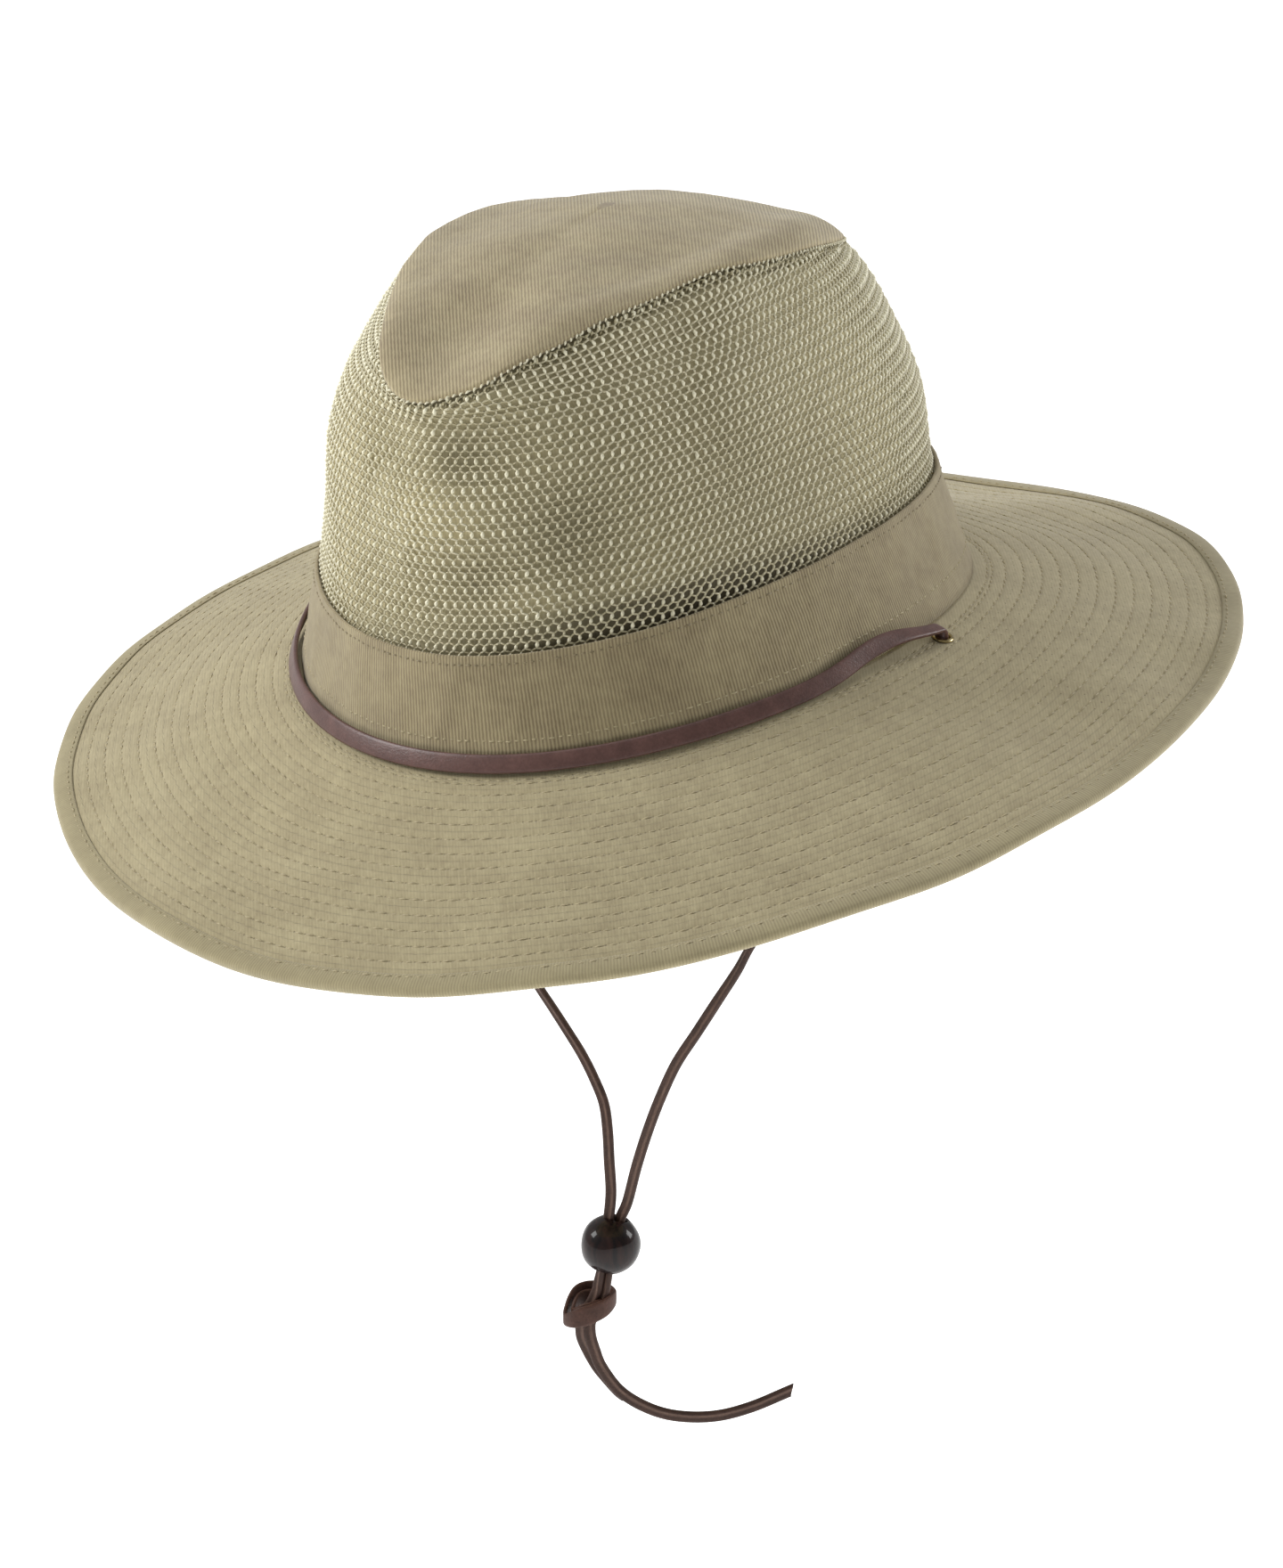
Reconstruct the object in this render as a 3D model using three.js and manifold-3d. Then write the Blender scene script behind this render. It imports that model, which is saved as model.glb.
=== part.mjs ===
// A safari hat with a twill tip, band and brim, a net crown over a lining, and a leather chin cord.
// Millimetres, +Z up. The wearer looks along -Y, so the wearer's left is +X.
// The origin is the middle of the head opening, level with the seam of the brim.
import * as THREE from "three";
import { mergeVertices } from "three/addons/utils/BufferGeometryUtils.js";
import Module from "manifold-3d";

const wasm = await Module();
wasm.setup();

const COLUMNS = 64; // round the crown, the band and the brim
const GAP = 0.3; // left between two pieces that touch
const FRONT = -Math.PI / 2; // angle of the front, with 0 at the wearer's left

// Rings of the crown from the brim seam up to the middle of the tip, each one level.
// height is at the sides. The front and the back lie lower by their drops, the nose lower again.
// side, front and back are the reaches from the axis. pinch pushes the front corners in.
const RING_COLUMNS = ["height", "frontDrop", "backDrop", "noseDrop", "side", "front", "back", "pinch"];
const CROWN_RINGS = [
  [4.2, 9.4, 7.4, 0, 85.5, 103.2, 103.2, 0],
  [20.6, 9.2, 7.2, 0, 80, 101.6, 101.6, 0],
  [33, 9, 7, 0, 76, 100.4, 100.6, 0],
  [52, 7, 4.9, 0, 73.6, 96.3, 100.5, 0],
  [72, 3.6, 4.7, 1.5, 68.3, 94.1, 93.5, 0],
  [90, 2.8, 6, 5, 58.6, 93, 85.5, 0.04],
  [105.6, 7.6, 15.4, 9.3, 48.5, 93.3, 72.4, 0.19],
  [107.5, 2.8, 7.5, 6, 35, 71.5, 54.5, 0.08],
  [111.2, 1, 2.8, 2, 17.6, 36.5, 30, 0],
  [113.1, 0, 0, 0, 0, 0, 0, 0],
].map((row) => Object.fromEntries(RING_COLUMNS.map((column, k) => [column, row[k]])));
const BAND_LEVEL = 2; // top of the band
const TIP_LEVEL = 6; // seam of the tip at the front and the sides
const TIP_MIDDLE_LEVEL = 9;
const TIP_BACK_SLIP = 0.85; // levels by which that seam sinks towards the back
// Bends of the tip's seam, each with its middle and spread in radians and its rise in levels.
const WAVE_COLUMNS = ["angle", "turn", "rise"];
const TIP_SEAM_WAVES = [
  [-0.3, 0.2, 0.2],
  [-2.84, 0.2, 0.2],
  [-0.85, 0.15, -0.1],
  [-1.43, 0.1, 0.07],
  [-1.78, 0.2, -0.12],
].map((row) => Object.fromEntries(WAVE_COLUMNS.map((column, k) => [column, row[k]])));
const NOSE_SPREAD = 0.5; // radians either side of the front
const PINCH_ANGLE = 0.75; // radians from the front to the middle of a pinch
const PINCH_SPREAD = 0.42;

// Soft hollows in the crown, each with its middle and spreads in radians and levels.
// inward pushes towards the axis and downward sinks, both in millimetres.
const HOLLOWS = [
  { place: "left of nose", angle: -1.3, turn: 0.22, level: 4.5, rise: 0.75, inward: 2.8, downward: 0 },
  { place: "right of nose", angle: -1.84, turn: 0.22, level: 4.5, rise: 0.75, inward: 2.8, downward: 0 },
  { place: "full front", angle: -1.5, turn: 0.35, level: 3.3, rise: 0.7, inward: -1.4, downward: 0 },
  { place: "left, low", angle: -0.3, turn: 0.26, level: 3.3, rise: 0.7, inward: 2.4, downward: 0 },
  { place: "left, high", angle: -0.3, turn: 0.25, level: 4.7, rise: 0.5, inward: -1, downward: 0 },
  { place: "right, low", angle: -2.75, turn: 0.3, level: 3.4, rise: 0.8, inward: 2, downward: 0 },
  { place: "back", angle: 1.7, turn: 0.5, level: 3.9, rise: 0.8, inward: 1.6, downward: 0 },
  { place: "tip front", angle: -1.68, turn: 0.4, level: 7, rise: 0.55, inward: 0, downward: 2.2 },
];

// Cloth faces, measured outward from the crown surface.
const TIP_THICKNESS = 1;
const TIP_EDGE_OUTER = 1.3; // at its seam, where the net runs in under it
const TIP_OUTER = 1.7; // a little way in from the seam
const TIP_ROLL_LEVELS = 0.35; // levels over which its edge rolls down to the seam
const NET_TUCK = 0.2; // levels by which the net runs under the tip
const LINING_SHORT = 0.35; // levels between the top of the lining and that seam
const NET_OUTER = 0;
const NET_INNER = -1;
const LINING_OUTER = -1.8;
const LINING_INNER = -2.8;
const LINING_START_LEVEL = 2.4;
const BAND_OUTER = 1.5;
const BAND_INNER = 0.4;
const NET_START_LEVEL = 1.8; // behind the band

// The brim runs from the crown seam down to its edge.
const BRIM_SIDE = 158;
const BRIM_FRONT = 172;
const BRIM_BACK = 184;
const BRIM_EDGE_HEIGHT = -23.2; // mean of the edge
const BRIM_SIDE_RISE = 5.4; // the sides turn up, the front and the back down
const BRIM_BACK_RISE = 9.8; // the back lies higher and the front lower
const BRIM_CORNER_RISE = 0.7;
const BRIM_THICKNESS = 1.6;
const BRIM_UNDER_BAND = 0.02; // share by which it reaches in under the band
const BINDING_WIDTH = 6;
const BINDING_TAPE = 0.8; // thickness of the tape above and below the brim
const BINDING_FOLD = 2; // width of the tape beyond the brim's edge

const EYELET_ANGLE = 0.014; // just behind the middle of each side
const EYELET_SHARE = 0.085; // of the way from the seam to the edge of the brim
const EYELET_BORE = 3.8;
const EYELET_BARREL = 4.8;
const EYELET_FLANGE = 6.2;
const EYELET_FLANGE_THICKNESS = 0.6;
const EYELET_ROUND = 0.25; // rounding of its rims
const EYELET_HOLE_CLEARANCE = 0.35; // from the barrel to the cloth round it

const LACE_WIDTH = 5;
const LACE_END_WIDTH = 3;
const LACE_THICKNESS = 1.4;
const LACE_LEAN = 0.42; // radians that its lower edge stands out from the band
const LACE_END_LEAN = 1.17; // the same at its ends, which lie almost flat
const LACE_OFFSET = 3.2; // from the crown seam out to the middle of the lace
const LACE_HEIGHT = 1.7; // of its middle over the crown seam
const LACE_END_ANGLE = -0.008; // where its end dips into the eyelet
const LACE_END_TURN = 0.3; // radians over which each end leaves the band for its eyelet
const LACE_END_HEIGHT = 1.9; // of its ends over the top of the brim
const LACE_STEPS = 48;

const CORD_DIAMETER = 2.8;
const CORD_TOP = 0.5; // of its start over the top of the brim
const CORD_FACING = new THREE.Vector3(0.53, -0.848, 0); // level, square to the tails' own plane
const TAIL_WIDTH = 3.2;
const TAIL_THICKNESS = 1.6;
const CORD_SIDES = 8;
const BEAD_DIAMETER = 16.6;
const BEAD_BORE = 6.8;
const BEAD_LENGTH = 15.6;
const BEAD_ROUND = 0.5; // rounding of the rims of its bore
const BEAD_MIDDLE = new THREE.Vector3(-20.1, -13, -187.8);
const BEAD_AXIS = new THREE.Vector3(0.215, 0.135, 0.967).normalize();
const KNOT_MIDDLE = new THREE.Vector3(-26.3, -16.9, -206.5);
const KNOT_REACH = new THREE.Vector3(8.2, 6, 6.6); // along its own X, Y and Z
const KNOT_TURN = 0.56; // radians about Z
const KNOT_GROOVE = new THREE.Vector3(0.8, 0, 0.6); // square to the groove between its two turns
const KNOT_GROOVE_DEPTH = 0.24; // share of the reach
const KNOT_GROOVE_WIDTH = 0.28;

// Middle lines of the chin cord, from each eyelet through the bead to the knot.
const LEFT_CORD = [
  [89.8, 1.3, -4], [87.4, 1.1, -9.5], [81.8, 0.3, -19.5], [72.3, -1.6, -34.5], [61.8, -3.7, -49.5],
  [51, -5.6, -64.5], [41, -6.9, -78], [31.6, -7.6, -90], [26.2, -8.1, -98.8], [19.3, -8.6, -108.7],
  [12.2, -9.2, -119], [5.2, -9.7, -129], [-0.1, -10.3, -139], [-5.2, -10.7, -150.1],
  [-10.1, -10.9, -162.3], [-14.4, -10.9, -174.5], [-17.2, -11.4, -180.5], [-18.8, -12.3, -187.8],
  [-20.6, -13.4, -195.5], [-22, -14.4, -199.6],
];
const RIGHT_CORD = [
  [-89.8, 1.3, -4], [-88, 1.1, -9.5], [-84.4, 0.3, -19.5], [-78.8, -1.6, -34.5], [-72.7, -3.7, -50],
  [-66, -5.4, -66], [-58, -6.8, -82], [-49.3, -7.9, -97.5], [-39.3, -8.7, -112.1],
  [-34.9, -8.9, -118.3], [-30.1, -9.3, -125], [-25.8, -9.7, -131.3], [-22.2, -10.2, -138],
  [-19.5, -10.6, -145], [-18.7, -11.2, -153], [-18.7, -11.8, -162], [-18.7, -12.4, -171.5],
  [-19.8, -13.1, -179.5], [-21.4, -13.9, -187.8], [-23.2, -15, -195.5], [-24.6, -16, -199.6],
];
// The free ends below the knot. The right strand's is cut short and lies behind the other.
const LEFT_TAIL = [
  [-27.1, -18.4, -214], [-26.4, -17.9, -219.5], [-24.6, -16.8, -226], [-20.7, -14.4, -234.1],
  [-14.7, -10.6, -240.1], [-7.6, -6.2, -243.7], [1.6, -0.5, -244.9], [10.6, 5.2, -243.1],
  [21.1, 11.7, -238.7],
];
const RIGHT_TAIL = [
  [-29.6, -17.7, -214.5], [-28.9, -17.2, -219.3], [-27.6, -16.4, -224.1], [-25.9, -15.4, -228.3],
  [-22.1, -13, -235.2], [-19.8, -11.6, -237.8],
];
const UP = new THREE.Vector3(0, 0, 1);

const CLOTH = { color: 0xa89d7b, roughness: 0.95, metalness: 0 };
const NET = { color: 0xcfc99d, roughness: 0.6, metalness: 0 };
const LINING_CLOTH = { color: 0x857b5c, roughness: 0.95, metalness: 0 };
const BINDING_CLOTH = { color: 0x9c9170, roughness: 0.95, metalness: 0 };
const LEATHER = { color: 0x5c403a, roughness: 0.55, metalness: 0 };
const CORD_LEATHER = { color: 0x594640, roughness: 0.6, metalness: 0 };
const WOOD = { color: 0x2a1f20, roughness: 0.2, metalness: 0 };
const BRASS = { color: 0xa8894a, roughness: 0.35, metalness: 1 };

const group = new THREE.Group();

function addMesh(name, look, geometry) {
  const mesh = new THREE.Mesh(geometry, new THREE.MeshStandardMaterial(look));
  mesh.name = name;
  group.add(mesh);
  return mesh;
}

// One ring's values at a level between the table's rows, on a smooth curve through them.
function ringAt(level) {
  const last = CROWN_RINGS.length - 1;
  const row = Math.max(0, Math.min(Math.floor(level), last - 1));
  const part = level - row;
  const ring = {};
  for (const column of RING_COLUMNS) {
    const here = CROWN_RINGS[row][column];
    const next = CROWN_RINGS[row + 1][column];
    const before = row > 0 ? CROWN_RINGS[row - 1][column] : 2 * here - next;
    const after = row + 2 <= last ? CROWN_RINGS[row + 2][column] : 2 * next - here;
    ring[column] = 0.5 * (2 * here + (next - before) * part
      + (2 * before - 5 * here + 4 * next - after) * part ** 2
      + (3 * here - before - 3 * next + after) * part ** 3);
  }
  return ring;
}

// How far an angle lies from the front, in radians, 0 to pi.
function fromFront(angle) {
  const turn = angle - FRONT;
  return Math.abs(Math.atan2(Math.sin(turn), Math.cos(turn)));
}

function bump(distance, spread) {
  return Math.exp(-((distance / spread) ** 2));
}

function crownPoint(angle, level) {
  const ring = ringAt(level);
  const along = Math.sin(angle);
  const off = fromFront(angle);
  const pinched = 1 - ring.pinch * bump(off - PINCH_ANGLE, PINCH_SPREAD);
  const reach = along < 0 ? ring.front : ring.back;
  const drop = along < 0 ? ring.frontDrop : ring.backDrop;
  const point = new THREE.Vector3(
    ring.side * Math.cos(angle) * pinched,
    reach * along,
    ring.height - drop * along ** 2 - ring.noseDrop * bump(off, NOSE_SPREAD),
  );
  const inward = new THREE.Vector3(-Math.cos(angle), -Math.sin(angle), 0);
  for (const hollow of HOLLOWS) {
    const turn = angle - hollow.angle;
    const apart = Math.atan2(Math.sin(turn), Math.cos(turn));
    const share = bump(apart, hollow.turn) * bump(level - hollow.level, hollow.rise);
    point.addScaledVector(inward, hollow.inward * share);
    point.z -= hollow.downward * share;
  }
  return point;
}

// The level of the tip's seam, which sinks towards the back.
function tipSeamLevel(angle) {
  let level = TIP_LEVEL - TIP_BACK_SLIP * ((1 + Math.sin(angle)) / 2) ** 2;
  for (const wave of TIP_SEAM_WAVES) {
    const turn = angle - wave.angle;
    level += wave.rise * bump(Math.atan2(Math.sin(turn), Math.cos(turn)), wave.turn);
  }
  return level;
}

// A point on the top of the brim. share is 0 at the crown seam and 1 at the edge.
function brimPoint(angle, share) {
  const seam = crownPoint(angle, 0);
  const along = Math.sin(angle);
  const edge = new THREE.Vector3(
    BRIM_SIDE * Math.cos(angle),
    (along < 0 ? BRIM_FRONT : BRIM_BACK) * along,
    BRIM_EDGE_HEIGHT + BRIM_SIDE_RISE * Math.cos(2 * angle) + BRIM_BACK_RISE * along
      - BRIM_CORNER_RISE * Math.cos(4 * angle),
  );
  return seam.lerp(edge, share);
}

// The unit normal of surface(angle, place), to the outside when place grows upward.
function normalAt(surface, angle, place, step) {
  const TURN = 1e-3;
  const across = surface(angle + TURN, place).sub(surface(angle - TURN, place));
  const upward = surface(angle, place + step).sub(surface(angle, place - step));
  return across.cross(upward).normalize();
}

function offsetPoint(surface, angle, place, step, distance) {
  const normal = normalAt(surface, angle, place, step);
  return surface(angle, place).addScaledVector(normal, distance);
}

// A closed body from rings of points with as many points in each. With caps, a point at each end closes it.
// Without them the last ring joins the first.
function ringBody(rings, caps) {
  const points = [];
  const faces = [];
  const count = rings[0].length;
  for (const ring of rings) for (const p of ring) points.push(p.x, p.y, p.z);
  const strips = caps ? rings.length - 1 : rings.length;
  for (let r = 0; r < strips; r++) {
    const low = r * count;
    const high = ((r + 1) % rings.length) * count;
    for (let i = 0; i < count; i++) {
      const j = (i + 1) % count;
      faces.push(low + i, low + j, high + j, low + i, high + j, high + i);
    }
  }
  if (caps) {
    const first = rings.length * count;
    points.push(caps[0].x, caps[0].y, caps[0].z, caps[1].x, caps[1].y, caps[1].z);
    const top = (rings.length - 1) * count;
    for (let i = 0; i < count; i++) {
      const j = (i + 1) % count;
      faces.push(first, j, i, first + 1, top + i, top + j);
    }
  }
  const geometry = new THREE.BufferGeometry();
  geometry.setAttribute("position", new THREE.Float32BufferAttribute(points, 3));
  geometry.setIndex(faces);
  return geometry;
}

function ringOf(pointAt) {
  return Array.from({ length: COLUMNS }, (_, i) => pointAt((2 * Math.PI * i) / COLUMNS));
}

// A wall of cloth on the crown. levels gives each row's level at an angle, from the bottom up.
function crownWall(levels, outer, inner) {
  const STEP = 0.02;
  const face = (distance, rows) => rows.map((levelAt) => ringOf(
    (angle) => offsetPoint(crownPoint, angle, levelAt(angle), STEP, distance)));
  return ringBody([...face(outer, levels), ...face(inner, [...levels].reverse())]);
}

// The tip: a cap of cloth from its seam to its middle, with its edge rolled down to the seam.
function tipCap() {
  const STEP = 0.02;
  const ROWS = [0, 0.05, 0.15, 0.38, 0.65, 0.92]; // shares of the way to the middle
  const face = (thickness, rows) => rows.map((row) => ringOf((angle) => {
    const seam = tipSeamLevel(angle);
    const level = seam + (TIP_MIDDLE_LEVEL - seam) * row;
    const roll = bump(level - seam, TIP_ROLL_LEVELS);
    const outer = TIP_OUTER + (TIP_EDGE_OUTER - TIP_OUTER) * roll;
    return offsetPoint(crownPoint, angle, level, STEP, outer - thickness);
  }));
  const middle = crownPoint(0, TIP_MIDDLE_LEVEL);
  const rings = [...face(TIP_THICKNESS, [...ROWS].reverse()), ...face(0, ROWS)];
  const below = middle.clone().addScaledVector(UP, TIP_OUTER - TIP_THICKNESS);
  const above = middle.clone().addScaledVector(UP, TIP_OUTER);
  return ringBody(rings, [below, above]);
}

// Rows of the lining, from its lower edge to the seam of the tip. The net over it has the same rows.
const LINING_STRIPS = 4;
const liningRows = Array.from({ length: LINING_STRIPS + 1 }, (_, k) => (angle) => {
  const top = tipSeamLevel(angle) - LINING_SHORT;
  return LINING_START_LEVEL + ((top - LINING_START_LEVEL) * k) / LINING_STRIPS;
});
const netRows = [() => NET_START_LEVEL, ...liningRows, (angle) => tipSeamLevel(angle) + NET_TUCK];
const BAND_START_LEVEL = 0.01;
const bandRows = [BAND_START_LEVEL, 1, BAND_LEVEL].map((level) => () => level);
addMesh("crown_tip", CLOTH, tipCap());
addMesh("crown_net", NET, crownWall(netRows, NET_OUTER, NET_INNER));
addMesh("crown_lining", LINING_CLOTH, crownWall(liningRows, LINING_OUTER, LINING_INNER));
addMesh("side_band", CLOTH, crownWall(bandRows, BAND_OUTER, BAND_INNER));

// Brim and binding.
const BRIM_STEP = 0.01;
const brimOffset = (angle, share, depth) => offsetPoint(brimPoint, angle, share, -BRIM_STEP, -depth);

// The share of the way across the brim at a distance in from its edge.
function shareAtEdge(angle, distance) {
  return 1 - distance / brimPoint(angle, 0).distanceTo(brimPoint(angle, 1));
}

function brimBody(strips) {
  const face = (depth, order) => order.map((k) => ringOf((angle) => {
    const outermost = shareAtEdge(angle, BINDING_FOLD + GAP);
    return brimOffset(angle, outermost - (outermost + BRIM_UNDER_BAND) * (k / strips), depth);
  }));
  const inward = Array.from({ length: strips + 1 }, (_, k) => k);
  return ringBody([...face(0, inward), ...face(BRIM_THICKNESS, [...inward].reverse())]);
}

// The tape folded round the brim's edge, with the brim in its slot.
function bindingBody() {
  const slot = BRIM_THICKNESS / 2 + GAP;
  const half = slot + BINDING_TAPE;
  const [round, flat] = [1, 0.45 * half]; // the fold's edge is rounded this far in, and flat between
  const section = [
    [BINDING_WIDTH, -half], [round, -half], [0, -flat], [0, flat], [round, half],
    [BINDING_WIDTH, half], [BINDING_WIDTH, slot], [BINDING_FOLD, slot],
    [BINDING_FOLD, -slot], [BINDING_WIDTH, -slot],
  ];
  return ringBody(section.map(([inset, lift]) => ringOf(
    (angle) => brimOffset(angle, shareAtEdge(angle, inset), BRIM_THICKNESS / 2 - lift))));
}

function solidOf(geometry) {
  const vertProperties = new Float32Array(geometry.getAttribute("position").array);
  const triVerts = new Uint32Array(geometry.index.array);
  return new wasm.Manifold(new wasm.Mesh({ numProp: 3, vertProperties, triVerts }));
}

function geometryOf(solid) {
  const mesh = solid.getMesh();
  const geometry = new THREE.BufferGeometry();
  geometry.setAttribute("position", new THREE.Float32BufferAttribute(mesh.vertProperties, 3));
  geometry.setIndex([...mesh.triVerts]);
  return geometry;
}

// Where each eyelet sits, and the matrix that stands a lathed piece on the brim there.
function eyeletSeat(angle) {
  const point = brimPoint(angle, EYELET_SHARE);
  const normal = normalAt(brimPoint, angle, EYELET_SHARE, -BRIM_STEP);
  const turn = new THREE.Quaternion().setFromUnitVectors(UP, normal);
  const matrix = new THREE.Matrix4().compose(point, turn, new THREE.Vector3(1, 1, 1));
  return { point, normal, matrix };
}

const seats = { left: eyeletSeat(EYELET_ANGLE), right: eyeletSeat(Math.PI - EYELET_ANGLE) };

let brim = solidOf(brimBody(4));
for (const seat of Object.values(seats)) {
  const HOLE_SIDES = 16;
  const radius = EYELET_BARREL / 2 + EYELET_HOLE_CLEARANCE;
  const hole = new THREE.CylinderGeometry(radius, radius, 4 * BRIM_THICKNESS, HOLE_SIDES);
  hole.deleteAttribute("normal");
  hole.deleteAttribute("uv");
  hole.rotateX(Math.PI / 2).applyMatrix4(seat.matrix);
  brim = brim.subtract(solidOf(mergeVertices(hole)));
}
addMesh("brim", CLOTH, geometryOf(brim));
addMesh("brim_binding", BINDING_CLOTH, bindingBody());

// A rolled eyelet: a barrel through the brim between an upper and a lower flange.
function eyeletBody() {
  const bore = EYELET_BORE / 2;
  const barrel = EYELET_BARREL / 2;
  const flange = EYELET_FLANGE / 2;
  const top = GAP + EYELET_FLANGE_THICKNESS;
  const bottom = -BRIM_THICKNESS - top;
  const profile = [
    [bore, EYELET_ROUND + bottom], [flange, bottom], [flange, -BRIM_THICKNESS - GAP],
    [barrel, -BRIM_THICKNESS - GAP], [barrel, GAP], [flange, GAP], [flange, top - EYELET_ROUND],
    [flange - EYELET_ROUND, top], [bore + EYELET_ROUND, top], [bore, top - EYELET_ROUND],
    [bore, EYELET_ROUND + bottom],
  ];
  const SIDES = 20;
  const lathe = new THREE.LatheGeometry(profile.map(([r, z]) => new THREE.Vector2(r, z)), SIDES);
  return lathe.rotateX(Math.PI / 2);
}

for (const [side, seat] of Object.entries(seats)) {
  addMesh(`eyelet_${side}`, BRASS, eyeletBody().applyMatrix4(seat.matrix));
}

// A strap of four corners swept through frames of a middle, a width direction and a thickness direction.
function strapBody(frames) {
  const rings = frames.map(({ middle, across, outward, width }) => {
    const corner = (u, v) => middle.clone()
      .addScaledVector(across, (u * width) / 2).addScaledVector(outward, (v * LACE_THICKNESS) / 2);
    return [corner(-1, -1), corner(1, -1), corner(1, 1), corner(-1, 1)];
  });
  return ringBody(rings, [frames[0].middle, frames.at(-1).middle]);
}

// The lace round the front of the crown, from the right eyelet to the left one.
function laceFrames() {
  const frames = [];
  const sweep = Math.PI + 2 * LACE_END_ANGLE;
  for (let k = 0; k <= LACE_STEPS; k++) {
    const angle = -Math.PI - LACE_END_ANGLE + (sweep * k) / LACE_STEPS;
    const fromEnd = Math.min(k, LACE_STEPS - k) * (sweep / LACE_STEPS);
    const held = THREE.MathUtils.smoothstep(fromEnd, 0, LACE_END_TURN);
    const seam = crownPoint(angle, 0);
    const outward = normalAt(crownPoint, angle, 0.02, 0.02).setZ(0).normalize();
    const along = seam.clone().addScaledVector(outward, LACE_OFFSET).addScaledVector(UP, LACE_HEIGHT);
    const over = brimPoint(angle, EYELET_SHARE);
    const off = normalAt(brimPoint, angle, EYELET_SHARE, -BRIM_STEP);
    over.addScaledVector(off, LACE_END_HEIGHT);
    const middle = over.lerp(along, held);
    const lean = THREE.MathUtils.lerp(LACE_END_LEAN, LACE_LEAN, held);
    const across = UP.clone().multiplyScalar(Math.cos(lean)).addScaledVector(outward, -Math.sin(lean));
    const face = outward.clone().multiplyScalar(Math.cos(lean)).addScaledVector(UP, Math.sin(lean));
    const width = THREE.MathUtils.lerp(LACE_END_WIDTH, LACE_WIDTH, held);
    frames.push({ middle, across, outward: face, width });
  }
  return frames;
}

addMesh("lace_band", LEATHER, strapBody(laceFrames()));

// A cord along its middle line, oval in section, with its wide way square to CORD_FACING.
function cordBody(points, width, thickness, steps) {
  const curve = new THREE.CatmullRomCurve3(points, false, "centripetal");
  const rings = [];
  for (let k = 0; k <= steps; k++) {
    const middle = curve.getPointAt(k / steps);
    const along = curve.getTangentAt(k / steps);
    const across = CORD_FACING.clone().cross(along).normalize();
    const outward = along.clone().cross(across);
    const ring = [];
    for (let i = 0; i < CORD_SIDES; i++) {
      const turn = (2 * Math.PI * (i + 0.5)) / CORD_SIDES;
      const [u, v] = [(Math.cos(turn) * width) / 2, (Math.sin(turn) * thickness) / 2];
      ring.push(middle.clone().addScaledVector(across, u).addScaledVector(outward, v));
    }
    rings.push(ring);
  }
  return ringBody(rings, [curve.getPoint(0), curve.getPoint(1)]);
}

const vectors = (rows) => rows.map((row) => new THREE.Vector3(...row));
const CORD_STEPS = 32;
for (const [side, rows] of [["left", LEFT_CORD], ["right", RIGHT_CORD]]) {
  const top = seats[side].point.clone().addScaledVector(seats[side].normal, CORD_TOP);
  const body = cordBody([top, ...vectors(rows)], CORD_DIAMETER, CORD_DIAMETER, CORD_STEPS);
  addMesh(`chin_cord_${side}`, CORD_LEATHER, body);
}

// The bead: a drilled ball, a little flattened where the cords go in and out.
function beadBody() {
  const STEPS = 10;
  const bore = BEAD_BORE / 2;
  const half = BEAD_LENGTH / 2;
  const radius = BEAD_DIAMETER / 2;
  const end = Math.acos((bore + BEAD_ROUND) / radius);
  const profile = [new THREE.Vector2(bore, BEAD_ROUND - half * Math.sin(end))];
  for (let k = 0; k <= STEPS; k++) {
    const turn = -end + (2 * end * k) / STEPS;
    profile.push(new THREE.Vector2(radius * Math.cos(turn), half * Math.sin(turn)));
  }
  profile.push(new THREE.Vector2(bore, half * Math.sin(end) - BEAD_ROUND), profile[0].clone());
  const SIDES = 24;
  const turn = new THREE.Quaternion().setFromUnitVectors(UP, BEAD_AXIS);
  const lathe = new THREE.LatheGeometry(profile, SIDES).rotateX(Math.PI / 2);
  return lathe.applyQuaternion(turn).translate(...BEAD_MIDDLE.toArray());
}

addMesh("bead", WOOD, beadBody());

// The knot: two turns of lace drawn tight, a ball with a slanted groove between them.
function knotBody() {
  const SIDES = 20;
  const ROWS = 12;
  const ball = new THREE.SphereGeometry(1, SIDES, ROWS);
  const place = ball.getAttribute("position");
  const point = new THREE.Vector3();
  for (let i = 0; i < place.count; i++) {
    point.fromBufferAttribute(place, i);
    point.multiplyScalar(1 - KNOT_GROOVE_DEPTH * bump(point.dot(KNOT_GROOVE), KNOT_GROOVE_WIDTH));
    place.setXYZ(i, point.x * KNOT_REACH.x, point.y * KNOT_REACH.y, point.z * KNOT_REACH.z);
  }
  return ball.rotateZ(KNOT_TURN).translate(...KNOT_MIDDLE.toArray());
}

addMesh("knot", CORD_LEATHER, knotBody());

const TAIL_STEPS = { left: 14, right: 7 };
for (const [side, rows] of [["left", LEFT_TAIL], ["right", RIGHT_TAIL]]) {
  const body = cordBody(vectors(rows), TAIL_WIDTH, TAIL_THICKNESS, TAIL_STEPS[side]);
  addMesh(`tail_cord_${side}`, CORD_LEATHER, body);
}

export default group;
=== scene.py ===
import math

import bpy
import numpy as np
from mathutils import Matrix, Vector


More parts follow.
